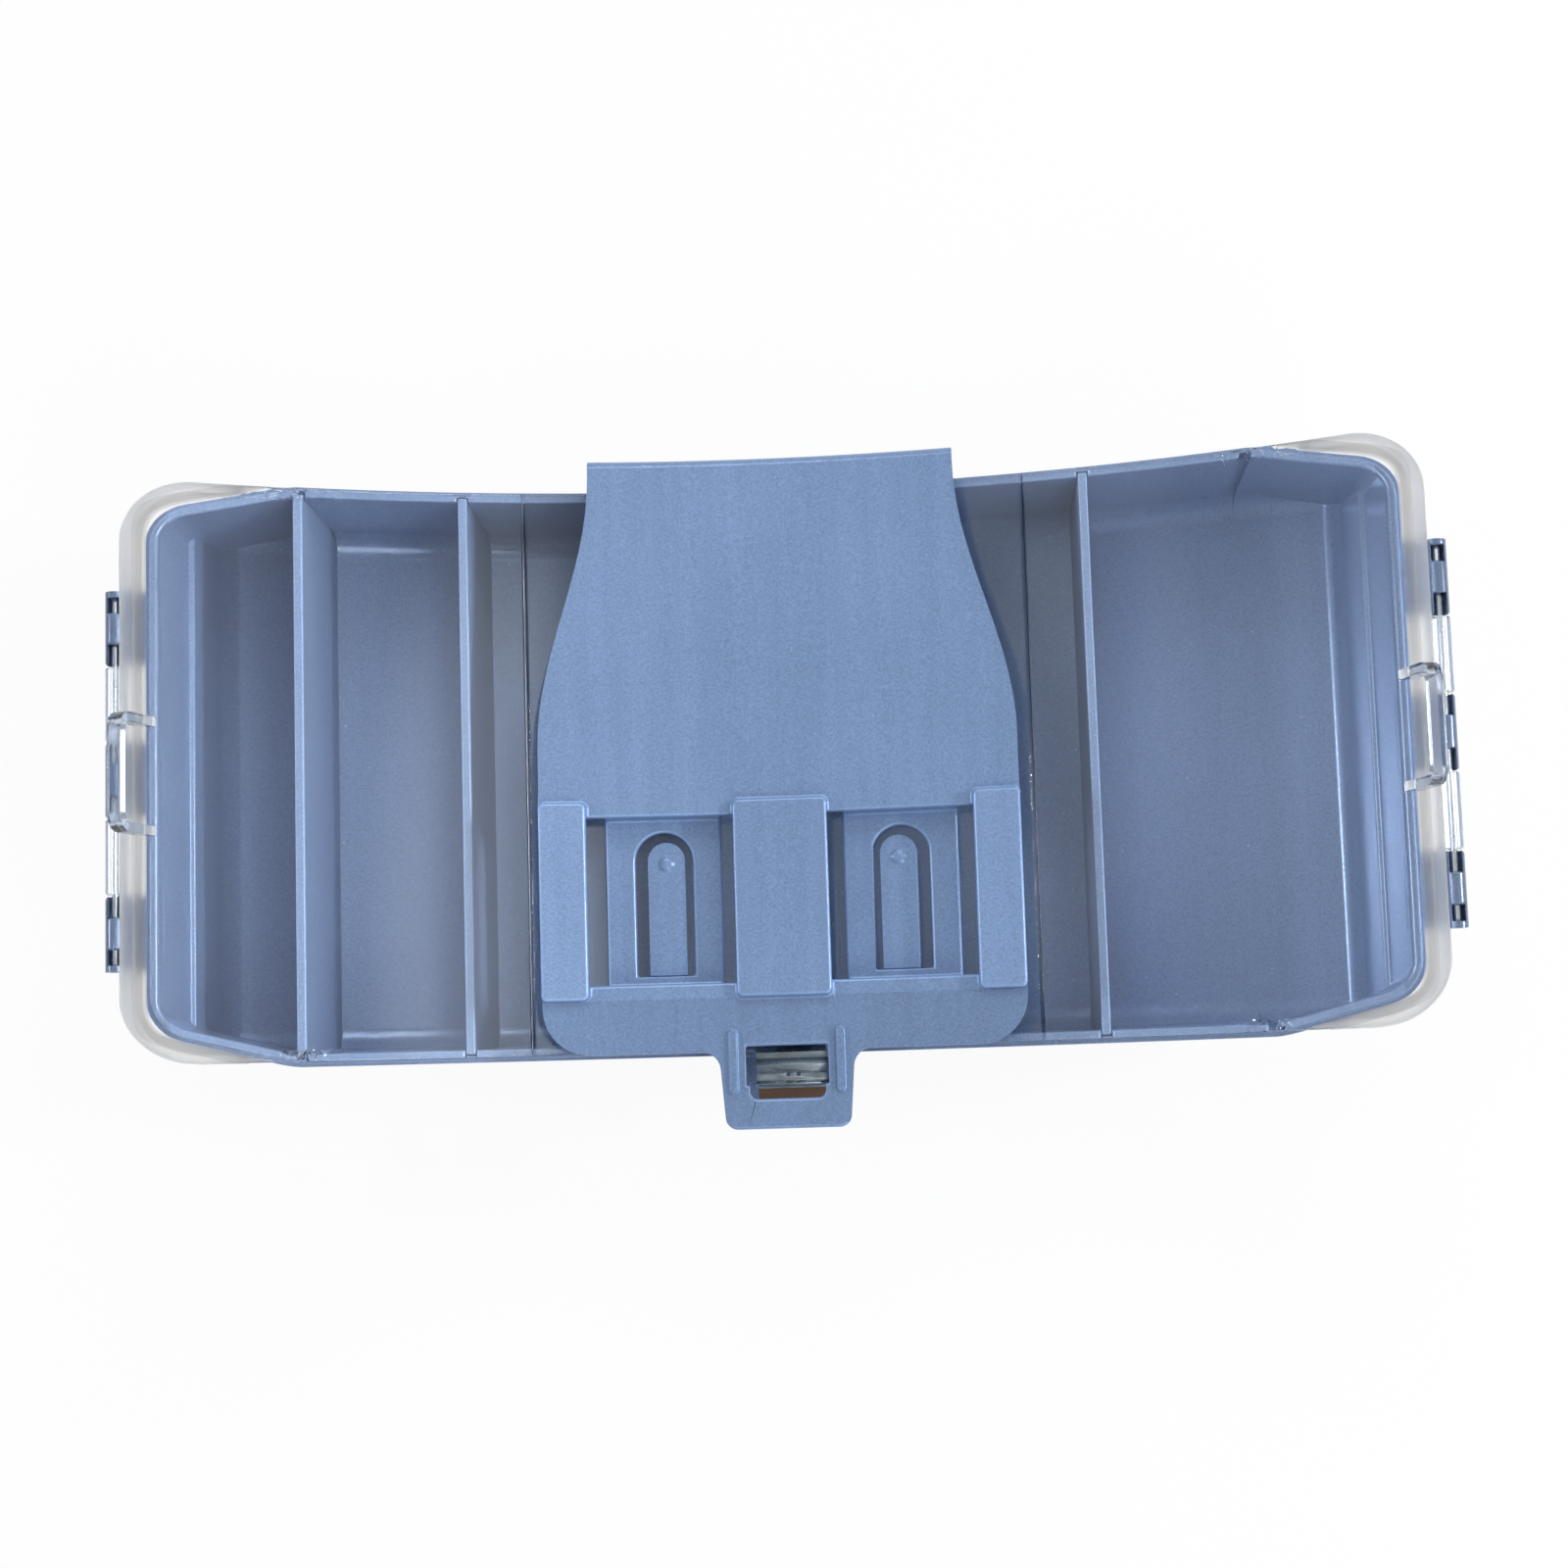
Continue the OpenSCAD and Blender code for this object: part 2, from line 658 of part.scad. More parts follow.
// The shape of a tongue, or of the slot round it, from the root line
module tongue_plan(grow) {
    half = tongue_w / 2 + grow;
    translate([0, -grow]) square([2 * half, 2 * (tongue_l - tongue_w / 2 + grow)], center = true);
    translate([0, tongue_l - tongue_w / 2]) circle(r = half, $fn = round_fn);
}

module pad(side) {
    arc_sheet(pad_under, pad_top) difference() {
        translate([side * pad_x - pad_w / 2, belt_lo - over]) square([pad_w, belt_w + 2 * over]);
        intersection() {
            translate([side * pad_x, root_y]) tongue_plan(slot_w);
            translate([side * pad_x - pad_w / 2, root_y]) square([pad_w, belt_w]);
        }
    }
    for (y = [belt_lo - pad_t, belt_hi])
        arc_sheet(pad_under, plate_lift - plate_t / 2)
            translate([side * pad_x - pad_w / 2, y]) square([pad_w, pad_t]);
}

// A bar lies on the plate and is let into it where it laps the belt's edges
module bar(x, width) {
    arc_sheet(plate_lift, plate_lift + bar_t) translate([x, belt_y])
        round_rect(width / 2, belt_w / 2 + bar_lap, 1.2);
    arc_sheet(plate_lift - plate_t / 4, plate_lift + bar_t / 2) difference() {
        translate([x, belt_y]) round_rect(width / 2, belt_w / 2 + bar_lap, 1.2);
        translate([x - width, belt_lo]) square([2 * width, belt_w]);
    }
}

module window_plan() {
    translate([0, -win_far + win_h / 2]) square([win_w, win_h], center = true);
    translate([0, -win_far]) round_rect(win_w / 2 - 0.7, lip_slot_h, 1.6);
}

// A bent strip drawn beside a line of points, on its right-hand side
function edge_normal(a, b) = let (d = unit(b - a)) [d.y, -d.x];
function beside(points, i, t) =
    let (last = len(points) - 1,
         n1 = edge_normal(points[max(i - 1, 0)], points[max(i, 1)]),
         n2 = edge_normal(points[min(i, last - 1)], points[min(i + 1, last)]),
         m = unit(n1 + n2))
    points[i] + m * t / (m * n1);
module strip(points, t) {
    last = len(points) - 1;
    polygon(concat(points, [for (i = [last : -1 : 0]) beside(points, i, t)]));
}

// Children set at each of the catch's rivets
module at_rivet(i) {
    translate([rivet_xs[i], -rivet_y, catch_z - rivet_drop]) children();
}

// What the bend along the hinged edge takes off, as radius and Y
module plate_bend_cut() {
    edge = [mouth_r - plate_lift - hair, -plate_top - hair];
    polygon(concat(corner_arc(edge + [9, 0], edge, edge + [0, 9], plate_bend_r, 6),
                   [edge + [-over, plate_bend_r], edge - [over, over], edge + [plate_bend_r, -over]]));
}

module belt_plate() {
    flange_low = plate_pin_z + plate_knuckle_r + 0.6;
    length = plate_knuckle_l - knuckle_play;
    color(blue) difference() {
        union() {
            difference() {
                arc_sheet(plate_lift - plate_t, plate_lift) plate_plan();
                box([-2 * plate_half, belt_lo, 0], [2 * plate_half, belt_hi, axis_z / 2]);
            }
            for (side = [-1, 1]) {
                pad(side);
                bar(side * (plate_half - bar_side_w / 2), bar_side_w);
                arc_sheet(plate_lift - plate_t / 2, plate_lift + rib_h)
                    translate([side * rib_gap / 2, -plate_bottom - 2])
                        round_rect(rib_w / 2, rib_l / 2, 0.7);
            }
            bar(0, bar_mid_w);
            difference() {
                box([-plate_neck, flange_in, flange_low], [plate_neck, plate_top, axis_z / 2]);
                arc_fill(plate_lift - plate_t / 2);
            }
            for (i = [0 : 2 : plate_knuckles - 1]) {
                plate_hinge_knuckle(i);
                x = -plate_hinge_half + (i + 0.5) * plate_knuckle_l;
                box([x - length / 2, flange_in, plate_pin_z],
                    [x + length / 2, plate_pin_y + plate_knuckle_r, flange_low + over]);
            }
            for (i = [0, 1])
                at_rivet(i) cylinder(r = rivet_boss_r, h = rivet_drop + 0.8, $fn = small_fn);
        }
        for (i = [0, 1])
            at_rivet(i) translate([0, 0, -over])
                cylinder(r = rivet_r + 0.05, h = rivet_drop + over, $fn = small_fn);
        rod_x(plate_pin_y, plate_pin_z, plate_pin_d / 2 + pin_clear, 2 * plate_hinge_half + over);
        linear_extrude(axis_z / 2) window_plan();
        about_axis() plate_bend_cut();
    }
}

module tongue(side) {
    x = side * pad_x;
    color(blue) on_curve(x) translate([0, root_y, pad_under + 0.03]) {
        linear_extrude(pad_t) intersection() {
            tongue_plan(0);
            translate([-tongue_w, root_gap]) square([2 * tongue_w, 2 * tongue_l]);
        }
        translate([0, tongue_l - 4.4, pad_t + bump_h]) rotate_extrude($fn = small_fn)
            polygon([[0, 0], [bump_r * 0.5, -bump_h * 0.25], [bump_r, -bump_h - 0.1], [0, -bump_h - 0.1]]);
    }
}

module plate_pin() {
    color(steel) rod_x(plate_pin_y, plate_pin_z, plate_pin_d / 2, 2 * plate_hinge_half - 0.4);
}

// The catch is folded from one strip: a tail under the plate, two ridges, a raised lip, and legs that
// grip the rib from both sides, the outer one flared to ride over it
module catch() {
    drop = leg_low - catch_z;
    bend = rivet_y + rivet_boss_r + 0.2;
    ridge = bend + 1.5;
    tail = [[rivet_y - 1.7, -rivet_drop], [bend, -rivet_drop], [ridge, -0.1], [ridge + 1.2, -1.1],
            [inner_leg_y, 0], [inner_leg_y + 1.8, -1.3], [leg_y - 0.7, -1.2], [leg_y - 0.1, 0]];
    lip = [[leg_y - 0.7, -1.2], [leg_y - 0.1, lip_rise], [leg_y + 0.6, lip_rise - 0.5],
           [leg_y + 0.1, -1.4], [leg_y, -1.6]];
    color(steel) difference() {
        translate([catch_shift, 0, catch_z]) rotate([90, 0, -90]) {
            linear_extrude(2 * catch_half, center = true) {
                strip(tail, steel_t);
                translate([inner_leg_y - steel_t, drop]) square([steel_t, -drop - 0.8]);
                strip([[leg_y, -0.8], [leg_y, drop + 1.8], [leg_y + flare_out, drop + 0.5]], steel_t);
            }
            translate([0, 0, catch_shift - lip_shift])
                linear_extrude(2 * lip_half, center = true) polygon(lip);
        }
        for (i = [0, 1])
            at_rivet(i) translate([0, 0, -2]) cylinder(r = rivet_r + 0.05, h = 3, $fn = small_fn);
        // Two sight holes between the legs
        for (x = [catch_shift - 1, catch_shift + 1])
            translate([x, -inner_leg_y - 1.9, catch_z - 4]) cylinder(r = 0.45, h = 4, $fn = small_fn);
    }
}

module catch_rivet(i) {
    head_h = 0.7;
    color(steel) at_rivet(i) {
        translate([0, 0, -steel_t]) cylinder(r = rivet_r, h = rivet_drop + steel_t - 0.4, $fn = small_fn);
        translate([0, 0, -steel_t - 0.03 - head_h]) cylinder(r = 1.4, h = head_h, $fn = small_fn);
        translate([0, 0, -steel_t - 0.1]) cylinder(r = rivet_r, h = 0.3, $fn = small_fn);
    }
}

tub();
divider(0);  // divider_1
divider(1);  // divider_2
divider(2);  // divider_3
centre_cover();
cover_screw(0);  // cover_screw_1
cover_screw(1);  // cover_screw_2
cover_screw(2);  // cover_screw_3
cover_screw(3);  // cover_screw_4
lid_left();
lid_right();
lid_pin(-1);  // lid_pin_left
lid_pin(1);  // lid_pin_right
belt_plate();
tongue(-1);  // tongue_left
tongue(1);  // tongue_right
plate_pin();
catch();
catch_rivet(0);  // catch_rivet_1
catch_rivet(1);  // catch_rivet_2
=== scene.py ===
"""A curved belt case for small art supplies: blue tub, clear lids on steel pins, hinged belt plate."""
import json
import math

import bmesh
import bpy
from mathutils.bvhtree import BVHTree
from mathutils import Matrix, Vector

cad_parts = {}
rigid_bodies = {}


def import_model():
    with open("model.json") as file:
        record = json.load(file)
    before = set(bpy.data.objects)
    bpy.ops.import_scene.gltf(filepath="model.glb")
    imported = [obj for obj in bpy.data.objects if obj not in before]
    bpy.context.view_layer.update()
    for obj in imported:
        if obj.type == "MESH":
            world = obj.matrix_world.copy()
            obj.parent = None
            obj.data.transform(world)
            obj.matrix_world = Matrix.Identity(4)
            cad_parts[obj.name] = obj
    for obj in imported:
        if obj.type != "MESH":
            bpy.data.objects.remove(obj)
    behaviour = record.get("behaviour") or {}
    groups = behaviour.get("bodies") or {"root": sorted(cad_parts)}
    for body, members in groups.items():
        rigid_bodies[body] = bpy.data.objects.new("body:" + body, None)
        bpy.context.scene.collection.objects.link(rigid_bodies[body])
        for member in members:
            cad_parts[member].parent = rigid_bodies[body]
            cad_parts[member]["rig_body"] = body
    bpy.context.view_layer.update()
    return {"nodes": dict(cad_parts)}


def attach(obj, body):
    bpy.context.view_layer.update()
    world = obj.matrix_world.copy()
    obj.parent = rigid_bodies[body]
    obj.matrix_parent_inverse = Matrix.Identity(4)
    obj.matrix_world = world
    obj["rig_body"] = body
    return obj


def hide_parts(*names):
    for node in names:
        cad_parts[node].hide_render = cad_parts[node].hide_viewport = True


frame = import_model()
nodes = frame["nodes"]

# ---------------------------------------------------------------------------------------------
# The stage. A camera over the case's hollow side, a white table under it, a pale sky, a soft box
# behind and one in front, and a small strip light past each end for the glints in the fillets.
# ---------------------------------------------------------------------------------------------
scene = bpy.context.scene
scene.view_settings.view_transform = "Standard"


def add_object(name, data):
    """A new object in the scene: returns it."""
    made = bpy.data.objects.new(name, data)
    scene.collection.objects.link(made)
    return made


camera_place = Vector((0.0271, -0.0691, 0.5821))
camera_forward = Vector((-0.04806, 0.11857, -0.99178)).normalized()
camera_up = Vector((0.03599, 0.99249, 0.11691))
camera_right = camera_forward.cross(camera_up).normalized()
camera_up = camera_right.cross(camera_forward)
camera_data = bpy.data.cameras.new("camera")
camera_data.lens = 61.55
camera_data.sensor_width = 36
camera_data.clip_start = 0.01
camera = add_object("camera", camera_data)
camera_turn = Matrix((camera_right, camera_up, -camera_forward)).transposed().to_4x4()
camera.matrix_world = Matrix.Translation(camera_place) @ camera_turn
scene.camera = camera


def colour(red, green, blue):
    """A screen colour, 0 to 255, as the linear colour that a shader takes."""
    steps = [c / 255 for c in (red, green, blue)]
    return [c / 12.92 if c <= 0.04045 else ((c + 0.055) / 1.055) ** 2.4 for c in steps] + [1]


def feed(socket, value):
    """Puts a value in a node's input, or links another node's output to it."""
    if isinstance(value, bpy.types.NodeSocket):
        socket.id_data.links.new(value, socket)
    elif value is not None:
        socket.default_value = value


def add_node(tree, kind, inputs, **settings):
    """A new node with its settings made and its inputs fed: returns it."""
    made = tree.nodes.new(kind)
    for name, value in settings.items():
        setattr(made, name, value)
    for label, value in inputs.items():
        feed(made.inputs[label], value)
    return made


def math_node(tree, operation, first, second=None, third=None, clamp=False):
    """A Math node on values or sockets: returns its output."""
    inputs = dict(enumerate((first, second, third)))
    return add_node(tree, "ShaderNodeMath", inputs, operation=operation, use_clamp=clamp).outputs[0]


def new_material(name):
    """A new node material: returns it with its node tree and its Principled shader."""
    made = bpy.data.materials.new(name)
    made.use_nodes = True
    return made, made.node_tree, made.node_tree.nodes["Principled BSDF"]


def mixed_surface(tree, share, first, second):
    """Mixes two shaders by a share and makes the mix the surface of a material or world."""
    mix = add_node(tree, "ShaderNodeMixShader",
                   {0: share, 1: first.outputs[0], 2: second.outputs[0]})
    for end in tree.nodes:
        if end.bl_idname in ("ShaderNodeOutputMaterial", "ShaderNodeOutputWorld"):
            feed(end.inputs["Surface"], mix.outputs[0])


# The table glows white to the camera, also through clear plastic and in mirrors, and is a plain
# white sheet to all other light
table_half = 3.0
table_glow_share = 0.92
table_material, table_tree, table_shader = new_material("white_table")
for label, value in [("Base Color", colour(244, 244, 244)), ("Roughness", 0.9),
                     ("Specular IOR Level", 0.1)]:
    feed(table_shader.inputs[label], value)
table_ray = add_node(table_tree, "ShaderNodeLightPath", {}).outputs
table_glow = add_node(table_tree, "ShaderNodeEmission", {"Strength": 1})
table_seen = math_node(table_tree, "MAXIMUM", table_ray["Is Camera Ray"],
                       table_ray["Is Transmission Ray"])
table_seen = math_node(table_tree, "MAXIMUM", table_seen, table_ray["Is Glossy Ray"])
table_seen = math_node(table_tree, "MULTIPLY", table_seen, table_glow_share)
mixed_surface(table_tree, table_seen, table_shader, table_glow)
table_mesh = bpy.data.meshes.new("table")
table_corners = [(-1, -1), (1, -1), (1, 1), (-1, 1)]
table_mesh.from_pydata([(x * table_half, y * table_half, 0) for x, y in table_corners], [],
                       [(0, 1, 2, 3)])
table_mesh.materials.append(table_material)
table = add_object("table", table_mesh)

world = bpy.data.worlds.new("studio")
world.use_nodes = True
scene.world = world
world_tree = world.node_tree
# Three faint glows in the sky, which the lids mirror: two in the left lid and one in the right
sky_glows = [((0.30, 0.06, 0.95), 1.0), ((-0.393, 0.177, 0.902), 0.3), ((0.61, 0.12, 0.78), 0.3)]
glow_edge, glow_middle = 0.98, 0.998       # cosines of a glow's outer and inner radius
sky_strength = 0.44
sky_way = add_node(world_tree, "ShaderNodeTexCoord", {}).outputs["Generated"]
for direction, strength in sky_glows:
    facing = add_node(world_tree, "ShaderNodeVectorMath",
                      {0: sky_way, 1: Vector(direction).normalized()}, operation="DOT_PRODUCT")
    lobe = add_node(world_tree, "ShaderNodeMapRange",
                    {"Value": facing.outputs["Value"], "From Min": glow_edge,
                     "From Max": glow_middle, "To Max": strength},
                    interpolation_type="SMOOTHERSTEP")
    sky_strength = math_node(world_tree, "ADD", sky_strength, lobe.outputs["Result"])
sky = world_tree.nodes["Background"]
feed(sky.inputs["Color"], (0.93, 0.965, 1.0, 1))
feed(sky.inputs["Strength"], sky_strength)
backdrop = add_node(world_tree, "ShaderNodeBackground", {"Strength": 1})
world_ray = add_node(world_tree, "ShaderNodeLightPath", {})
mixed_surface(world_tree, world_ray.outputs["Is Camera Ray"], sky, backdrop)

lamps_aim = Vector((0, 0, 0.04))
for name, place, wide, tall, power in [("soft_box_back", (0.15, 0.95, 0.95), 0.8, 0.5, 4.4),
                                       ("soft_box_front", (0.45, -0.7, 0.85), 0.6, 0.4, 2.6),
                                       ("strip_left", (-0.72, 0.06, 0.42), 0.14, 0.06, 1.2),
                                       ("strip_right", (0.78, 0.05, 0.50), 0.13, 0.05, 3.2)]:
    lamp_data = bpy.data.lights.new(name, "AREA")
    lamp_data.shape = "RECTANGLE"
    lamp_data.size = wide
    lamp_data.size_y = tall
    lamp_data.energy = power
    lamp = add_object(name, lamp_data)
    lamp.location = place
    lamp.rotation_mode = "QUATERNION"
    lamp.rotation_quaternion = (lamps_aim - Vector(place)).to_track_quat("-Z", "Y")

# ---------------------------------------------------------------------------------------------
# The tub. One injection moulding in blue-grey plastic with a fine satin grain: drafted ends with
# a ledge half-way down, long walls, a curved floor, divider grooves, and hinge blocks at its ends.
# ---------------------------------------------------------------------------------------------
mouth_radius = 0.25
mouth_axis_height = 0.284
# Heights above the mouth's cylinder, towards its axis, at which the pieces have curved faces
curved_levels = [0, -0.0016, -0.0042, -0.031, -0.0334, 0.0003, 0.0021, 0.0033, 0.005, 0.008, 0.0102,
                 0.011, 0.0122]
join_reach = 2e-6            # points of a solid this close are one point
snap_reach = 6e-5            # a point up to this far above a level is put on the level
weld_reach = 4e-5            # points of an unrolled piece this close are one point
flat_bend = 0.3              # faces that bend less than this, in degrees, are one face
strip_width = 0.002
beside_plane = 1e-6          # a face that crosses a plane by less than this isn't cut there
cut_reach = 1e-7             # points this close to a cutting plane lie on it
edge_segments = 3
straight_on = 2.7            # edges with a wider angle than this, in radians, are one outline
edge_room = 0.33             # share of a short edge that rounding may take
least_rounding = 0.3         # an edge with less room than this share stays sharp
marked_sharp = 0.01          # a sharp edge's share is no less than this before the last step
follow_turns = 12            # passes along the outlines, to spread a smaller rounding
follow_growth = 1.1          # from edge to edge of one outline, rounding grows by no more
settle_slack = 0.36          # share of the rounding that a point may stand off the solid
same_side = 0.64             # cosine up to which faces at a point shade as one
level_face = 0.9999          # an unrolled face with its normal this upright follows the curve


def solid_shape(node):
    """A solid's shape as a bmesh, with the points that lie on each other joined."""
    shape = bmesh.new()
    shape.from_mesh(nodes[node].data)
    bmesh.ops.remove_doubles(shape, verts=shape.verts, dist=join_reach)
    return shape


def flattened(shape, bend):
    """Makes one face of neighbours that bend less than some degrees."""
    bmesh.ops.dissolve_limit(shape, angle_limit=math.radians(bend), verts=shape.verts,
                             edges=shape.edges)


def sharp_edges(shape, sharp):
    """The edges at which two faces bend more than some degrees."""
    return [e for e in shape.edges
            if len(e.link_faces) == 2 and e.calc_face_angle(0) > math.radians(sharp)]


def stand_in(node, mesh):
    """Puts a finished mesh in the place of a solid, on the solid's body: returns the piece."""
    piece = add_object(node + "_finished", mesh)
    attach(piece, nodes[node]["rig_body"])
    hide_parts(node)
    return piece


def cut_in_strips(shape, faces, planes):
    """Cuts faces at a list of X planes, the middle one first."""
    if not planes or not faces:
        return
    middle = len(planes) // 2
    x = planes[middle]
    left, right, across = [], [], []
    for face in faces:
        spread = [v.co.x for v in face.verts]
        if max(spread) <= x + beside_plane:
            left.append(face)
        elif min(spread) >= x - beside_plane:
            right.append(face)
        else:
            across.append(face)
    if across:
        edges = {e for f in across for e in f.edges}
        points = {v for f in across for v in f.verts}
        cut = bmesh.ops.bisect_plane(shape, geom=[*points, *edges, *across], dist=cut_reach,
                                     plane_co=(x, 0, 0), plane_no=(1, 0, 0))
        for face in cut["geom"]:
            if isinstance(face, bmesh.types.BMFace):
                (left if face.calc_center_median().x < x else right).append(face)
    cut_in_strips(shape, left, planes[:middle])
    cut_in_strips(shape, right, planes[middle + 1:])


def rounding_shares(shape, round_edge, sharp):
    """Gives each sharp edge a bevel weight, less than 1 where a short edge leaves less room."""
    weight = shape.edges.layers.float.new("bevel_weight_edge")
    corners = sharp_edges(shape, sharp)
    for edge in corners:
        edge[weight] = 1
    followers = []
    for edge in corners:
        for end in edge.verts:
            along = edge.other_vert(end).co - end.co
            for beside in end.link_edges:
                if beside == edge:
                    continue
                away = beside.other_vert(end).co - end.co
                bend = along.angle(away, 0)
                if bend > straight_on:
                    if beside[weight]:
                        followers.append((edge, beside))
                elif set(beside.link_faces) & set(edge.link_faces):
                    room = edge_room * away.length * math.sin(bend) / round_edge
                    edge[weight] = min(edge[weight], max(room, marked_sharp))
    for _ in range(follow_turns):
        for edge, beside in followers:
            edge[weight] = min(edge[weight], follow_growth * beside[weight])
    for edge in corners:
        if edge[weight] < least_rounding:
            edge[weight] = 0


def rounded(shape, round_edge, sharp):
    """The same shape with its sharp edges rounded. The new faces have material index 1."""
    rounding_shares(shape, round_edge, sharp)
    mesh = bpy.data.meshes.new("to_round")
    shape.to_mesh(mesh)
    shape.free()
    for _ in range(2):       # the second slot is for the new faces
        mesh.materials.append(None)
    piece = add_object("to_round", mesh)
    rounding = piece.modifiers.new("rounding", "BEVEL")
    rounding.width = round_edge
    rounding.segments = edge_segments
    rounding.limit_method = "WEIGHT"
    rounding.use_clamp_overlap = False
    rounding.material = 1
    state = bpy.context.evaluated_depsgraph_get()
    result = bpy.data.meshes.new_from_object(piece.evaluated_get(state))
    bpy.data.objects.remove(piece)
    shape = bmesh.new()
    shape.from_mesh(result)
    bpy.data.meshes.remove(result)
    return shape


def settle(shape, before, slack):
    """Brings points that stand farther than slack off the shape as it was back onto it."""
    for point in shape.verts:
        nearest, _, _, distance = before.find_nearest(point.co)
        if distance > slack:
            point.co = nearest


def corner_normals(shape, upward):
    """A normal for each corner of each face of a piece that is rolled up again.

    On the curved levels it points to or from the mouth's axis, upward or not as given. Elsewhere
    it is the mean of the faces at the point that lie on the same side, by their areas.
    """
    normals = []
    for face in shape.faces:
        for corner in face.loops:
            point = corner.vert
            to_axis = Vector((-point.co.x, 0, mouth_axis_height - point.co.z)).normalized()
            level = to_axis * upward.get(point, 0)
            if level.dot(face.normal) > same_side:
                normals.append(level)
            else:
                total = Vector()
                for beside in point.link_faces:
                    if beside.normal.dot(face.normal) > same_side:
                        total += beside.normal * beside.calc_area()
                normals.append(total.normalized())
    return normals


def curved_copy(node, round_edge, sharp=30):
    """A finished copy of a solid that follows the mouth's curve, in place of the solid.

    The solid is unrolled so that its curved faces lie flat, its edges are rounded as a mould
    leaves them, and it is cut in narrow strips and rolled up again, so that it shades evenly.
    """
    shape = solid_shape(node)
    reach = max(abs(v.co.x) for v in shape.verts)
    count = math.floor(reach / strip_width)
    planes = [k * strip_width for k in range(-count, count + 1)]
    cut_in_strips(shape, list(shape.faces), planes)
    for point in shape.verts:
        lift = mouth_radius - math.hypot(point.co.x, mouth_axis_height - point.co.z)
        near = [level for level in curved_levels if level - join_reach < lift < level + snap_reach]
        point.co.z = near[0] if near else lift
    before = BVHTree.FromBMesh(shape)
    bmesh.ops.remove_doubles(shape, verts=shape.verts, dist=weld_reach)
    flattened(shape, flat_bend)
    shape = rounded(shape, round_edge, sharp)
    settle(shape, before, settle_slack * round_edge)
    rounded_mark = shape.faces.layers.float.new("rounded_edge")
    for face in shape.faces:
        face[rounded_mark] = face.material_index
        face.material_index = 0
    cut_in_strips(shape, list(shape.faces), planes)
    settle(shape, before, settle_slack * round_edge)
    level_points = {v for f in shape.faces if not f[rounded_mark] and abs(f.normal.z) > level_face
                    for v in f.verts}
    upward = {v: math.copysign(1, sum(f.normal.z for f in v.link_faces)) for v in level_points}
    for point in shape.verts:
        radius = mouth_radius - point.co.z
        point.co.z = mouth_axis_height - math.sqrt(radius ** 2 - point.co.x ** 2)
    shape.normal_update()
    normals = corner_normals(shape, upward)
    for face in shape.faces:
        face.smooth = True
    mesh = bpy.data.meshes.new(node + "_finished")
    shape.to_mesh(mesh)
    shape.free()
    mesh.normals_split_custom_set(normals)
    return stand_in(node, mesh)


def noise(tree, vector, scale, detail=2, **settings):
    """A Noise Texture on a vector: returns its value."""
    inputs = {"Vector": vector, "Scale": scale, "Detail": detail}
    inputs.update({label.title(): value for label, value in settings.items()})
    return add_node(tree, "ShaderNodeTexNoise", inputs).outputs["Fac"]


def stretched(tree, vector, scale, turn=0):
    """A vector turned about Z and stretched along each axis."""
    return add_node(tree, "ShaderNodeMapping",
                    {"Vector": vector, "Rotation": (0, 0, turn), "Scale": scale}).outputs[0]


def times(tree, vector, factor):
    """A vector or colour multiplied by a factor."""
    return add_node(tree, "ShaderNodeVectorMath", {0: vector, "Scale": factor},
                    operation="SCALE").outputs[0]


def mixed(tree, share, first, second):
    """A mix of two colours by the second's share."""
    return add_node(tree, "ShaderNodeMix", {"Factor": share, "A": first, "B": second},
                    data_type="RGBA").outputs["Result"]


def group_with(name, inputs, outputs):
    """A new shader node group: returns it with its inputs and its outputs to be fed."""
    group = bpy.data.node_groups.new(name, "ShaderNodeTree")
    for label, kind, value in inputs:
        socket = group.interface.new_socket(label, in_out="INPUT", socket_type=kind)
        if value is not None:
            socket.default_value = value
    for label, kind in outputs:
        group.interface.new_socket(label, in_out="OUTPUT", socket_type=kind)
    given, out = group.nodes.new("NodeGroupInput"), group.nodes.new("NodeGroupOutput")
    return group, given.outputs, out.inputs


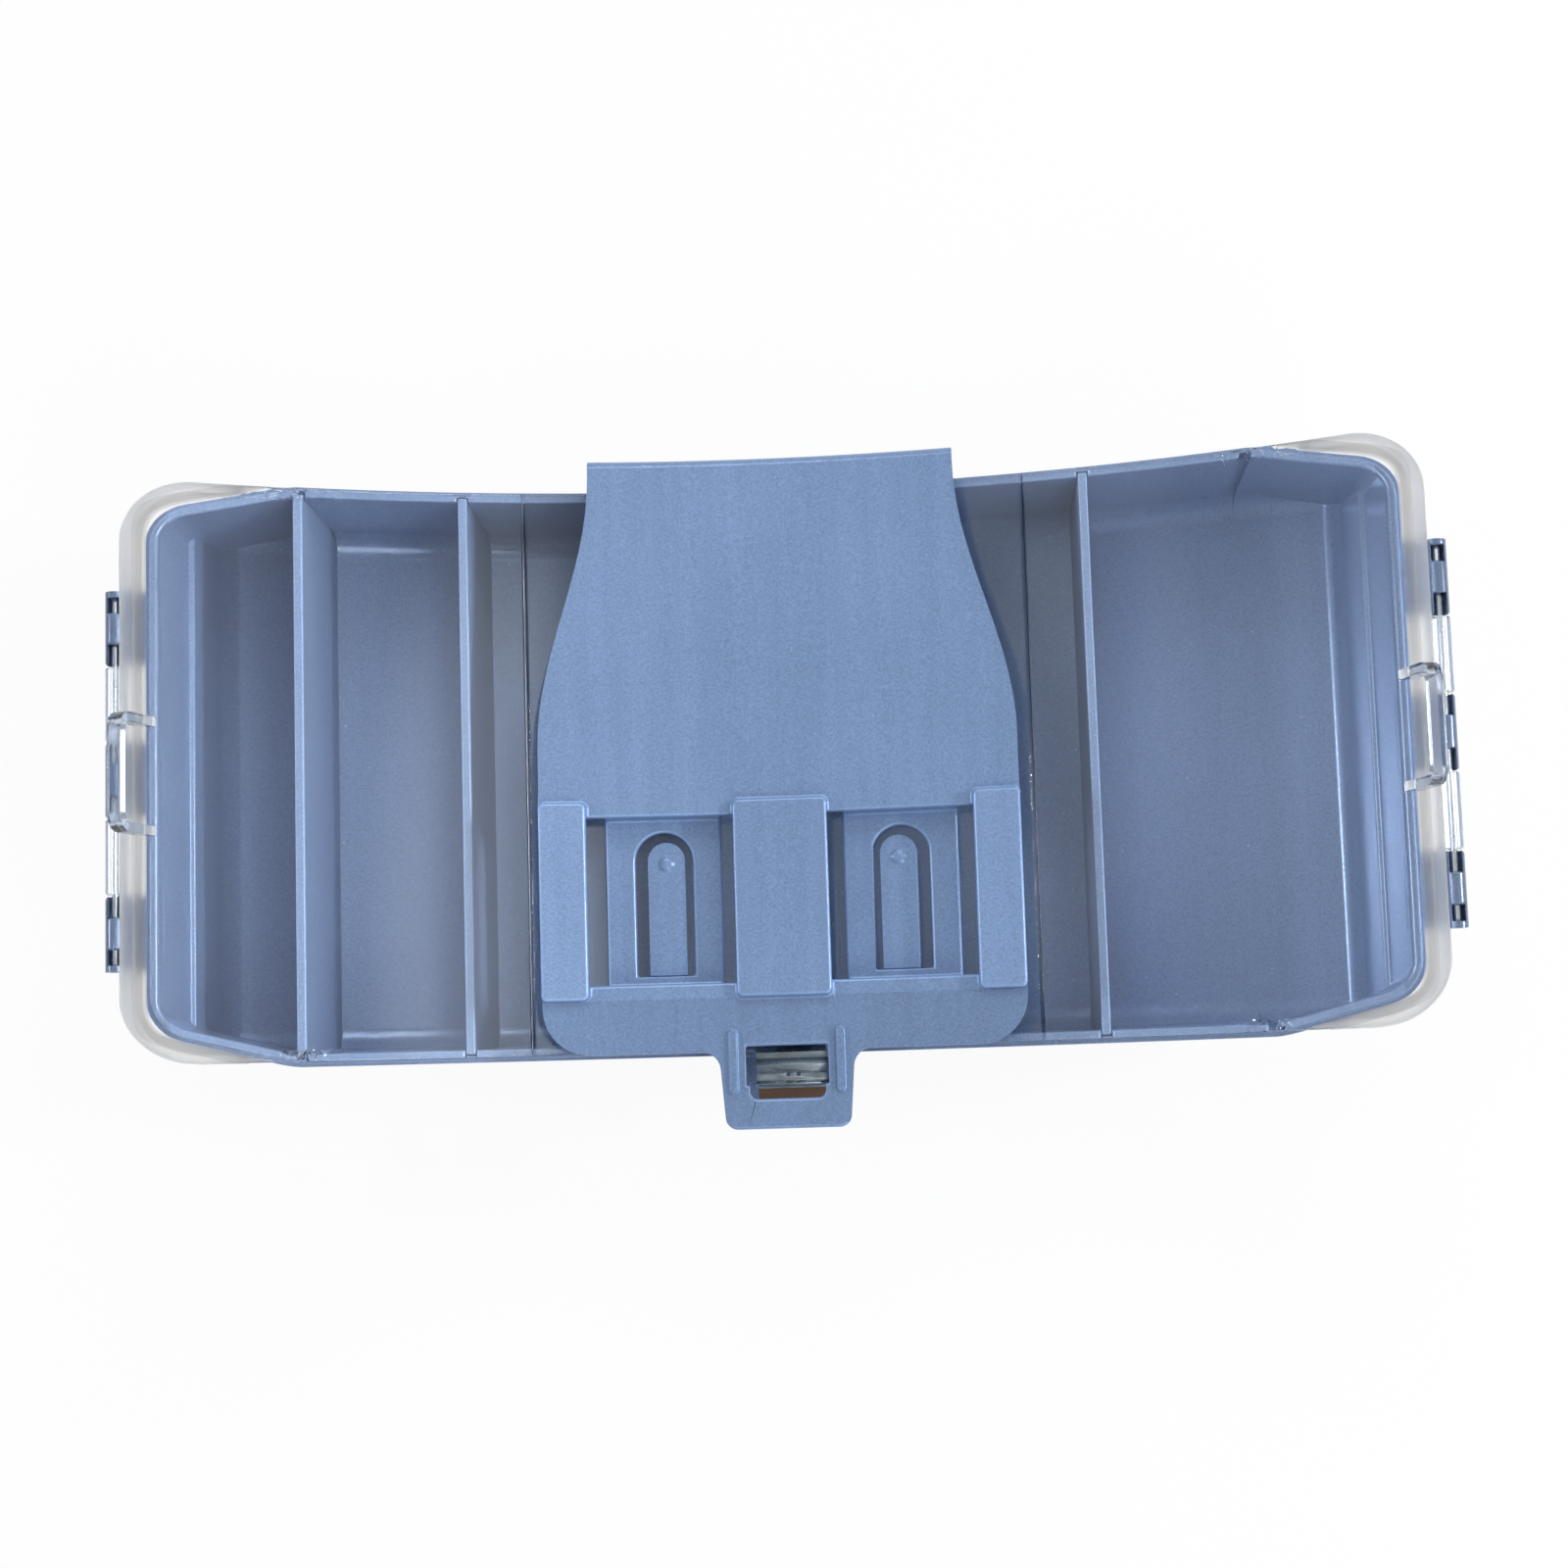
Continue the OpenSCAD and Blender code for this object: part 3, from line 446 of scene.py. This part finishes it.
def satin_grain_group():
    """Fine moulded grain with cloudy patches, faint streaks of rubbing, edges paled by use and a
    painted highlight, and dust.
    """
    group, given, out = group_with(
        "satin_grain",
        [("Vector", "NodeSocketVector", None), ("Colour", "NodeSocketColor", (1, 1, 1, 1)),
         ("Grain Size", "NodeSocketFloat", 0.00045), ("Grain Contrast", "NodeSocketFloat", 0.26),
         ("Grain Depth", "NodeSocketFloat", 0.3), ("Cloud", "NodeSocketFloat", 0.1),
         ("Roughness", "NodeSocketFloat", 0.4), ("Rounded Edge", "NodeSocketFloat", 0),
         ("Wear", "NodeSocketFloat", 0.35)],
        [("Colour", "NodeSocketColor"), ("Roughness", "NodeSocketFloat"),
         ("Normal", "NodeSocketVector")])
    speck_contrast, edge_paling_gain, uneven_roughness = 4, 2, 0.08
    fleck_size, fleck_share, fleck_roughness, dusty_above = 0.045, 0.3, 0.3, 0.52
    cloud = noise(group, given["Vector"], scale=30, detail=5)
    streak_way = stretched(group, given["Vector"], scale=(300, 18, 40))
    streak = noise(group, streak_way, scale=1, detail=4)
    uneven = math_node(group, "SUBTRACT", math_node(group, "ADD", cloud, streak), 1)
    shade = math_node(group, "MULTIPLY_ADD", uneven, given["Cloud"], 1)

    fineness = math_node(group, "DIVIDE", 1, given["Grain Size"])
    grain = noise(group, given["Vector"], fineness, detail=3, roughness=0.7)
    speck = math_node(group, "SUBTRACT", grain, 0.5)
    speck = math_node(group, "MULTIPLY", speck, speck_contrast)
    speck = math_node(group, "MULTIPLY_ADD", speck, given["Grain Contrast"], 1)
    shade = math_node(group, "MULTIPLY", shade, speck)

    # Rounded edges are paled, partly from use and partly as a painted highlight.
    edge_paling = math_node(group, "MULTIPLY", given["Rounded Edge"], cloud)
    edge_paling = math_node(group, "MULTIPLY", edge_paling, given["Wear"])
    shade = math_node(group, "MULTIPLY_ADD", edge_paling, edge_paling_gain, shade)

    dust = add_node(group, "ShaderNodeTexVoronoi", {"Vector": given["Vector"], "Scale": 260})
    fleck = math_node(group, "LESS_THAN", dust.outputs["Distance"], fleck_size)
    dusty = math_node(group, "GREATER_THAN", cloud, dusty_above)
    fleck = math_node(group, "MULTIPLY", fleck, dusty)
    dusty = mixed(group, math_node(group, "MULTIPLY", fleck, fleck_share),
                  times(group, given["Colour"], shade), colour(214, 220, 226))
    feed(out["Colour"], dusty)

    rough = math_node(group, "MULTIPLY_ADD", uneven, uneven_roughness, given["Roughness"])
    feed(out["Roughness"], math_node(group, "MULTIPLY_ADD", fleck, fleck_roughness, rough))
    bump = add_node(group, "ShaderNodeBump",
                    {"Distance": 0.00003, "Height": grain, "Strength": given["Grain Depth"]})
    feed(out["Normal"], bump.outputs[0])
    return group


satin_grain = satin_grain_group()


def place_on_case_group():
    """Distances from the case's middle along and across it, and height above the mouth's curve."""
    group, given, out = group_with(
        "place_on_case", [("Vector", "NodeSocketVector", None)],
        [("Along", "NodeSocketFloat"), ("Across", "NodeSocketFloat"), ("Side", "NodeSocketFloat"),
         ("Lift", "NodeSocketFloat")])
    split = add_node(group, "ShaderNodeSeparateXYZ", {0: given["Vector"]}).outputs
    along = math_node(group, "ABSOLUTE", split["X"])
    down = math_node(group, "SUBTRACT", mouth_axis_height, split["Z"])
    along_squared = math_node(group, "MULTIPLY", along, along)
    reach = math_node(group, "SQRT", math_node(group, "MULTIPLY_ADD", down, down, along_squared))
    feed(out["Along"], along)
    feed(out["Across"], math_node(group, "ABSOLUTE", split["Y"]))
    feed(out["Side"], split["Y"])
    feed(out["Lift"], math_node(group, "SUBTRACT", mouth_radius, reach))
    return group


place_on_case = place_on_case_group()


def satin_plastic(name, tone, zones=(), **settings):
    """A blue moulded plastic in one tone, with the satin grain over it.

    Each zone is painted shade, darker by a share, or painted sheen, lighter by a share, where all its
    tests hold. A test compares a distance Along, Across or to one Side of the case, or a Lift above
    its mouth.
    """
    made, tree, shader = new_material(name)
    place = add_node(tree, "ShaderNodeTexCoord", {}).outputs["Object"]
    edge = add_node(tree, "ShaderNodeAttribute", {}, attribute_name="rounded_edge")
    spot = add_node(tree, "ShaderNodeGroup", {"Vector": place}, node_tree=place_on_case)
    shade = 1
    for share, *tests in zones:
        inside = share
        for measure, sign, value in tests:
            holds = math_node(tree, sign, spot.outputs[measure], value)
            inside = math_node(tree, "MULTIPLY", inside, holds)
        shade = math_node(tree, "ADD", shade, inside)
    grain = add_node(tree, "ShaderNodeGroup",
                     {"Vector": place, "Colour": times(tree, tone[:3], shade),
                      "Rounded Edge": edge.outputs["Fac"]}, node_tree=satin_grain)
    for label, value in settings.items():
        feed(grain.inputs[label.replace("_", " ").title()], value)
    feed(shader.inputs["Base Color"], grain.outputs["Colour"])
    feed(shader.inputs["Roughness"], grain.outputs["Roughness"])
    feed(shader.inputs["Normal"], grain.outputs["Normal"])
    feed(shader.inputs["Metallic"], 0.25)
    return made


# Painted shade: the tub's rim at each end and its hinge blocks are drawn darker than the rest of the
# tub.
end_rim_painted_shade = (-0.25, ("Along", "GREATER_THAN", 0.1195), ("Lift", "GREATER_THAN", -0.0008))
hinge_blocks_painted_shade = (-0.45, ("Along", "GREATER_THAN", 0.1246))
tub_plastic = satin_plastic("tub_blue_plastic", colour(134, 154, 188), [end_rim_painted_shade, hinge_blocks_painted_shade],
                            roughness=0.24, wear=0.1)
tub = curved_copy("tub", round_edge=0.0006)
tub.data.materials.append(tub_plastic)

# ---------------------------------------------------------------------------------------------
# The dividers. Three flat plates of the same plastic, drawn a little darker than the tub as painted
# shade, paler at their edges partly from use and partly as a painted highlight, pushed down into
# the tub's grooves.
# ---------------------------------------------------------------------------------------------
# Painted shade: the dividers' tone is a little darker than the tub's, to offset the lamps' light on
# their tops.
divider_plastic_shaded = satin_plastic("divider_blue_plastic_shaded", colour(130, 150, 183), wear=0.3)
for name in ["divider_1", "divider_2", "divider_3"]:
    divider = curved_copy(name, round_edge=0.0003)
    divider.data.materials.append(divider_plastic_shaded)

# ---------------------------------------------------------------------------------------------
# The lids and the cover between them. Clear, hard, polished plastic, 1.8 mm thick. The lids are
# frosted where they stand out past the tub's edge, and their pull loops look a little bluer.
# ---------------------------------------------------------------------------------------------
# The tub's outline under the lids: its end, its long side, and where and how fast the side tapers
tub_end, tub_side, taper_start, taper_slope = 0.1231, 0.0585, 0.0975, 0.264
# The lids' end, their top's height over the mouth, and how far past the tub their skirt begins
lid_end, lid_top_lift, skirt_gap = 0.1276, 0.0026, 0.0021
# Where swirls lie in the lids: their middle and reach along the case, and how far in from its side
swirl_middle, swirl_reach, swirl_inset = 0.097, 0.010, 0.003
# The cover's seams: their distance from the middle, their width, and how far sideways they face
seam_half, seam_reach, seam_facing = 0.0516, 0.0006, 0.8


def fine_scratches_group():
    """Short hair-fine scratches in three directions, gathered in patches, as a mask."""
    group, given, out = group_with(
        "fine_scratches",
        [("Vector", "NodeSocketVector", None), ("Density", "NodeSocketFloat", 0.5),
         ("Spacing", "NodeSocketFloat", 0.0007)],
        [("Mask", "NodeSocketFloat")])
    line_level, line_width = 0.36, 0.004
    rarest, per_density = 0.8, 0.4
    patch = noise(group, given["Vector"], scale=22)
    fine = times(group, given["Vector"], math_node(group, "DIVIDE", 1, given["Spacing"]))
    marks = None
    for turn, length in [(0.5, 0.03), (-1.2, 0.05), (1.35, 0.04)]:
        line = noise(group, stretched(group, fine, (1, length, length), turn), scale=1, detail=1)
        near = math_node(group, "ABSOLUTE", math_node(group, "SUBTRACT", line, line_level))
        mark = math_node(group, "LESS_THAN", near, line_width)
        marks = mark if marks is None else math_node(group, "MAXIMUM", marks, mark)
    limit = math_node(group, "MULTIPLY", given["Density"], per_density)
    limit = math_node(group, "SUBTRACT", rarest, limit)
    here = math_node(group, "GREATER_THAN", patch, limit)
    feed(out["Mask"], math_node(group, "MULTIPLY", marks, here))
    return group


fine_scratches = fine_scratches_group()


def clear_plastic_like(name, ior, frosting):
    """A clear plastic that lets lamp light through, frosted past the tub's edge if asked."""
    corner_blend, polish, ripple_share = 0.009, 0.03, 0.008
    made, tree, shader = new_material(name)
    place = add_node(tree, "ShaderNodeTexCoord", {}).outputs["Object"]
    spot = add_node(tree, "ShaderNodeGroup", {"Vector": place}, node_tree=place_on_case).outputs
    along, across, lift = spot["Along"], spot["Across"], spot["Lift"]
    past_end = math_node(tree, "SUBTRACT", along, tub_end)
    taper = math_node(tree, "MAXIMUM", math_node(tree, "SUBTRACT", along, taper_start), 0)
    past_side = math_node(tree, "SUBTRACT", across, tub_side)
    past_side = math_node(tree, "MULTIPLY_ADD", taper, taper_slope, past_side)
    outside = math_node(tree, "SMOOTH_MAX", past_end, past_side, corner_blend)
    edge = add_node(tree, "ShaderNodeMapRange",
                    {"Value": outside, "From Min": -0.0001, "From Max": 0.0004},
                    interpolation_type="SMOOTHSTEP")
    low = math_node(tree, "LESS_THAN", lift, lid_top_lift)
    near = math_node(tree, "LESS_THAN", along, lid_end)
    frosted = math_node(tree, "MULTIPLY", math_node(tree, "MULTIPLY", low, near),
                        edge.outputs["Result"])
    frosted = math_node(tree, "MULTIPLY", frosted, frosting)
    loop = math_node(tree, "MULTIPLY", math_node(tree, "SUBTRACT", 1, low), frosting)
    hinged = math_node(tree, "MULTIPLY", math_node(tree, "SUBTRACT", 1, near), frosting)

    over_skirt = math_node(tree, "GREATER_THAN", outside, skirt_gap)
    over_skirt = math_node(tree, "MULTIPLY", over_skirt, frosted)
    tint = mixed(tree, frosted, colour(250, 252, 253), colour(206, 204, 202))
    tint = mixed(tree, over_skirt, tint, colour(238, 236, 233))
    feed(shader.inputs["Base Color"], mixed(tree, loop, tint, colour(205, 213, 226)))

    scratch = add_node(tree, "ShaderNodeGroup", {"Vector": place, "Density": 0.02},
                       node_tree=fine_scratches)
    rough = polish
    for where, more in [(frosted, 0.6), (hinged, 0.22), (loop, 0.1), (scratch.outputs["Mask"], 0.2)]:
        rough = math_node(tree, "MULTIPLY_ADD", where, more, rough)
    feed(shader.inputs["Roughness"], rough)

    # The plastic swirls where it flowed round the start of the long walls' taper
    swirl = noise(tree, place, scale=120, distortion=2.5)
    by_taper = math_node(tree, "ABSOLUTE", math_node(tree, "SUBTRACT", along, swirl_middle))
    by_taper = math_node(tree, "DIVIDE", by_taper, swirl_reach)
    by_taper = math_node(tree, "SUBTRACT", 1, by_taper, clamp=True)
    by_side = math_node(tree, "GREATER_THAN", across, tub_side - swirl_inset)
    height = math_node(tree, "MULTIPLY", math_node(tree, "MULTIPLY", by_taper, by_side), swirl)
    height = math_node(tree, "MULTIPLY", height, frosting)
    ripple = math_node(tree, "MULTIPLY", noise(tree, place, scale=35), near)
    height = math_node(tree, "MULTIPLY_ADD", ripple, ripple_share, height)
    bump = add_node(tree, "ShaderNodeBump", {"Distance": 0.002, "Height": height})
    feed(shader.inputs["Normal"], bump.outputs[0])
    feed(shader.inputs["IOR"], ior)
    feed(shader.inputs["Transmission Weight"], 1)

    ray = add_node(tree, "ShaderNodeLightPath", {})
    through = add_node(tree, "ShaderNodeBsdfTransparent", {"Color": colour(244, 247, 250)})
    mixed_surface(tree, ray.outputs["Is Shadow Ray"], shader, through)
    return made


clear_plastic = clear_plastic_like("clear_plastic", 1.49, 1)
seam_plastic = clear_plastic_like("clear_plastic_seam", 1.12, 0)
for name in ["centre_cover", "lid_left", "lid_right"]:
    lid = curved_copy(name, round_edge=0.0004)
    lid.data.materials.append(clear_plastic)
    lid.data.materials.append(seam_plastic)
    for face in lid.data.polygons:
        if abs(abs(face.center.x) - seam_half) < seam_reach and abs(face.normal.x) > seam_facing:
            face.material_index = 1

# ---------------------------------------------------------------------------------------------
# The cover's screws. Four domed steel heads with a cross recess, one in each corner of the cover,
# square to its curve. Each goes down through the cover into a boss of the tub.
# ---------------------------------------------------------------------------------------------
split_bend = 32              # smooth shading breaks at edges that bend more, in degrees


def drawn_steel(name, tone, roughness, streak_scale, tarnish, rust_past=None):
    """Bare steel with drawing lines, tarnish and scratches, brown where Y is under rust_past."""
    line_contrast, line_shade, stain_roughness, scratch_roughness = 0.4, 0.8, 0.2, 0.15
    made, tree, shader = new_material(name)
    place = add_node(tree, "ShaderNodeTexCoord", {}).outputs["Object"]
    lines = noise(tree, stretched(tree, place, streak_scale), scale=1, detail=3)
    stain = noise(tree, place, scale=420, detail=4)
    dark = add_node(tree, "ShaderNodeMapRange",
                    {"Value": stain, "From Min": 0.45, "From Max": 0.75, "To Max": 0.6})
    steel = mixed(tree, dark.outputs["Result"], tone, tarnish)
    if rust_past:
        split = add_node(tree, "ShaderNodeSeparateXYZ", {0: place})
        rusty = math_node(tree, "LESS_THAN", split.outputs["Y"], rust_past)
        steel = mixed(tree, rusty, steel, colour(122, 98, 86))
    shade = math_node(tree, "MULTIPLY_ADD", lines, line_contrast, line_shade)
    feed(shader.inputs["Base Color"], times(tree, steel, shade))
    scratch = add_node(tree, "ShaderNodeGroup", {"Vector": place, "Spacing": 0.0004},
                       node_tree=fine_scratches)
    rough = math_node(tree, "MULTIPLY_ADD", dark.outputs["Result"], stain_roughness, roughness)
    rough = math_node(tree, "MULTIPLY_ADD", scratch.outputs["Mask"], scratch_roughness, rough)
    feed(shader.inputs["Roughness"], rough)
    bump = add_node(tree, "ShaderNodeBump", {"Distance": 0.00001, "Height": lines})
    feed(shader.inputs["Normal"], bump.outputs[0])
    feed(shader.inputs["Metallic"], 1)
    return made


bright_steel = drawn_steel("bright_steel", colour(222, 224, 228), 0.2, (4000, 150, 4000),
                           colour(150, 152, 156))


def domed_heads_tree(name, with_recess):
    """A Geometry Nodes tree: a domed head on a round shank at each point, facing the point's way.

    The head is cut by a column from a flat ball a little wider than itself, so that it has a rim.
    """
    ball_width, shank_lap = 1.12, 0.00005
    tree = bpy.data.node_groups.new(name, "GeometryNodeTree")
    tree.is_modifier = True
    interface = tree.interface
    interface.new_socket("Geometry", in_out="INPUT", socket_type="NodeSocketGeometry")
    for label in ["Head Radius", "Head Height", "Shank Radius", "Shank Length", "Recess Length",
                  "Recess Width", "Recess Depth"]:
        interface.new_socket(label, in_out="INPUT", socket_type="NodeSocketFloat")
    interface.new_socket("Material", in_out="INPUT", socket_type="NodeSocketMaterial")
    interface.new_socket("Geometry", in_out="OUTPUT", socket_type="NodeSocketGeometry")
    given, out = tree.nodes.new("NodeGroupInput").outputs, tree.nodes.new("NodeGroupOutput").inputs

    def triple(x, y, z):
        """Three values or sockets as one vector."""
        return add_node(tree, "ShaderNodeCombineXYZ", {0: x, 1: y, 2: z}).outputs[0]

    def combined(operation, first, others):
        """Cuts or joins meshes: returns the Boolean node's output."""
        step = add_node(tree, "GeometryNodeMeshBoolean", {}, operation=operation)
        if operation == "DIFFERENCE":
            feed(step.inputs["Mesh 1"], first)
        else:
            others = [first, *others]
        for other in others:
            feed(step.inputs["Mesh 2"], other)
        return step.outputs[0]

    radius, height = given["Head Radius"], given["Head Height"]
    ball = add_node(tree, "GeometryNodeMeshUVSphere", {"Segments": 32, "Rings": 18, "Radius": 1})
    wide = math_node(tree, "MULTIPLY", radius, ball_width)
    dome = add_node(tree, "GeometryNodeTransform",
                    {"Geometry": ball.outputs["Mesh"], "Scale": triple(wide, wide, height)})
    disc = add_node(tree, "GeometryNodeMeshCylinder",
                    {"Vertices": 32, "Radius": radius,
                     "Depth": math_node(tree, "MULTIPLY", height, 2)})
    column = add_node(tree, "GeometryNodeTransform",
                      {"Geometry": disc.outputs["Mesh"], "Translation": triple(0, 0, height)})
    shape = combined("INTERSECT", dome.outputs[0], [column.outputs[0]])
    if with_recess:
        size = triple(given["Recess Length"], given["Recess Width"], height)
        rise = math_node(tree, "SUBTRACT", math_node(tree, "MULTIPLY", height, 1.5),
                         given["Recess Depth"])
        arms = []
        for turn in [0.0001, math.pi / 2]:
            bar = add_node(tree, "GeometryNodeMeshCube", {"Size": size})
            arm = add_node(tree, "GeometryNodeTransform",
                           {"Geometry": bar.outputs["Mesh"], "Translation": triple(0, 0, rise),
                            "Rotation": (0, 0, turn)})
            arms.append(arm.outputs[0])
        shape = combined("DIFFERENCE", shape, arms)
    shank = add_node(tree, "GeometryNodeMeshCylinder",
                     {"Vertices": 24, "Radius": given["Shank Radius"],
                      "Depth": given["Shank Length"]})
    sunk = math_node(tree, "MULTIPLY_ADD", given["Shank Length"], -0.5, shank_lap)
    stem = add_node(tree, "GeometryNodeTransform",
                    {"Geometry": shank.outputs["Mesh"], "Translation": triple(0, 0, sunk)})
    whole = combined("UNION", shape, [stem.outputs[0]])

    way = add_node(tree, "GeometryNodeInputNamedAttribute", {"Name": "way"},
                   data_type="FLOAT_VECTOR")
    align = add_node(tree, "FunctionNodeAlignRotationToVector",
                     {"Vector": way.outputs["Attribute"]}, axis="Z")
    spread = add_node(tree, "GeometryNodeInstanceOnPoints",
                      {"Points": given["Geometry"], "Instance": whole,
                       "Rotation": align.outputs[0]})
    real = add_node(tree, "GeometryNodeRealizeInstances", {0: spread.outputs[0]})
    coat = add_node(tree, "GeometryNodeSetMaterial",
                    {"Geometry": real.outputs[0], "Material": given["Material"]})
    feed(out["Geometry"], coat.outputs[0])
    return tree


def shade_smooth(mesh):
    """Smooth shading that breaks at sharp edges."""
    for face in mesh.polygons:
        face.use_smooth = True
    mesh.set_sharp_from_angle(angle=math.radians(split_bend))


def heads_at(name, tree, points, ways, sizes, material):
    """Runs the heads' tree on some points: returns the result as a plain mesh object."""
    seat = bpy.data.meshes.new(name + "_points")
    seat.from_pydata(points, [], [])
    way = seat.attributes.new("way", "FLOAT_VECTOR", "POINT")
    for entry, direction in zip(way.data, ways):
        entry.vector = direction
    carrier = add_object(name + "_carrier", seat)
    modifier = carrier.modifiers.new("heads", "NODES")
    modifier.node_group = tree
    values = {**sizes, "Material": material}
    for socket in tree.interface.items_tree:
        if socket.in_out == "INPUT" and socket.name in values:
            modifier[socket.identifier] = values[socket.name]
    seen = carrier.evaluated_get(bpy.context.evaluated_depsgraph_get())
    mesh = bpy.data.meshes.new_from_object(seen)
    bpy.data.objects.remove(carrier)
    shade_smooth(mesh)
    return add_object(name, mesh)


screw_x, screw_y, screw_lift = 0.031, 0.052, 0.00213
screw_z = mouth_axis_height - math.sqrt((mouth_radius - screw_lift) ** 2 - screw_x ** 2)
screw_places = [(x, y, screw_z) for x in (-screw_x, screw_x) for y in (-screw_y, screw_y)]
screw_ways = [Vector((-x, 0, mouth_axis_height - z)).normalized() for x, y, z in screw_places]
screw_sizes = {"Head Radius": 0.0023, "Head Height": 0.0015, "Shank Radius": 0.0012,
               "Shank Length": 0.008, "Recess Length": 0.0028, "Recess Width": 0.0006,
               "Recess Depth": 0.0007}
screws = heads_at("cover_screws", domed_heads_tree("cross_head_screws", True), screw_places,
                  screw_ways, screw_sizes, bright_steel)
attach(screws, "case")
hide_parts("cover_screw_1", "cover_screw_2", "cover_screw_3", "cover_screw_4")

# ---------------------------------------------------------------------------------------------
# The pins. Straight drawn steel wire: one through each row of hinge knuckles at the tub's ends,
# and one under the belt plate's upper edge.
# ---------------------------------------------------------------------------------------------


def small_copy(node, round_edge):
    """A finished copy of a small solid, with its edges broken, in place of the solid."""
    shape = solid_shape(node)
    flattened(shape, bend=0.4)
    corners = sharp_edges(shape, sharp=35)
    bmesh.ops.bevel(shape, geom=corners, offset=round_edge, offset_type="OFFSET", segments=2,
                    profile=0.5, affect="EDGES", clamp_overlap=True)
    mesh = bpy.data.meshes.new(node + "_finished")
    shape.to_mesh(mesh)
    shape.free()
    shade_smooth(mesh)
    return stand_in(node, mesh)


for name in ["lid_pin_left", "lid_pin_right", "plate_pin"]:
    pin = small_copy(name, round_edge=0.00015)
    pin.data.materials.append(bright_steel)

# ---------------------------------------------------------------------------------------------
# The belt plate and its two tongues. Curved mouldings of the tub's plastic: three raised bars
# that a belt runs under, two sunk pads with a sprung tongue each, and a tab with a window.
# ---------------------------------------------------------------------------------------------
# Painted light on the plate: its side bars are drawn lighter as a painted sheen, and its lower strip
# and tab darker as painted shade.
side_bars_painted_sheen = (0.13, ("Along", "GREATER_THAN", 0.0375), ("Lift", "GREATER_THAN", 0.0112))
free_edge_painted_shade = (-0.15, ("Side", "LESS_THAN", -0.0475), ("Lift", "LESS_THAN", 0.0112))
plate_plastic = satin_plastic("plate_blue_plastic", colour(128, 154, 194), [side_bars_painted_sheen, free_edge_painted_shade],
                              cloud=0.2, roughness=0.34, wear=0.25)
for name, round_edge in [("belt_plate", 0.0006), ("tongue_left", 0.0003), ("tongue_right", 0.0003)]:
    plate = curved_copy(name, round_edge, sharp=50)
    plate.data.materials.append(plate_plastic)

# ---------------------------------------------------------------------------------------------
# The catch. One bent strip of spring steel behind the plate's window, held by two rivets, which
# hooks over the rib on the tub's long wall. It is tarnished, and browned at its outer end.
# ---------------------------------------------------------------------------------------------
spring_steel = drawn_steel("spring_steel", colour(160, 170, 176), 0.26, (60, 2500, 2500),
                           colour(92, 98, 98), rust_past=-0.0658)
catch = small_copy("catch", round_edge=0.00012)
catch.data.materials.append(spring_steel)

rivet_foot = 0.03867
rivet_places = [(-0.004, -0.0553, rivet_foot), (0.006, -0.0553, rivet_foot)]
rivet_sizes = {"Head Radius": 0.0014, "Head Height": 0.0007, "Shank Radius": 0.0008,
               "Shank Length": 0.0026}
rivets = heads_at("catch_rivets", domed_heads_tree("domed_rivets", False), rivet_places,
                  [Vector((0, 0, -1))] * 2, rivet_sizes, spring_steel)
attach(rivets, "plate")
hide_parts("catch_rivet_1", "catch_rivet_2")
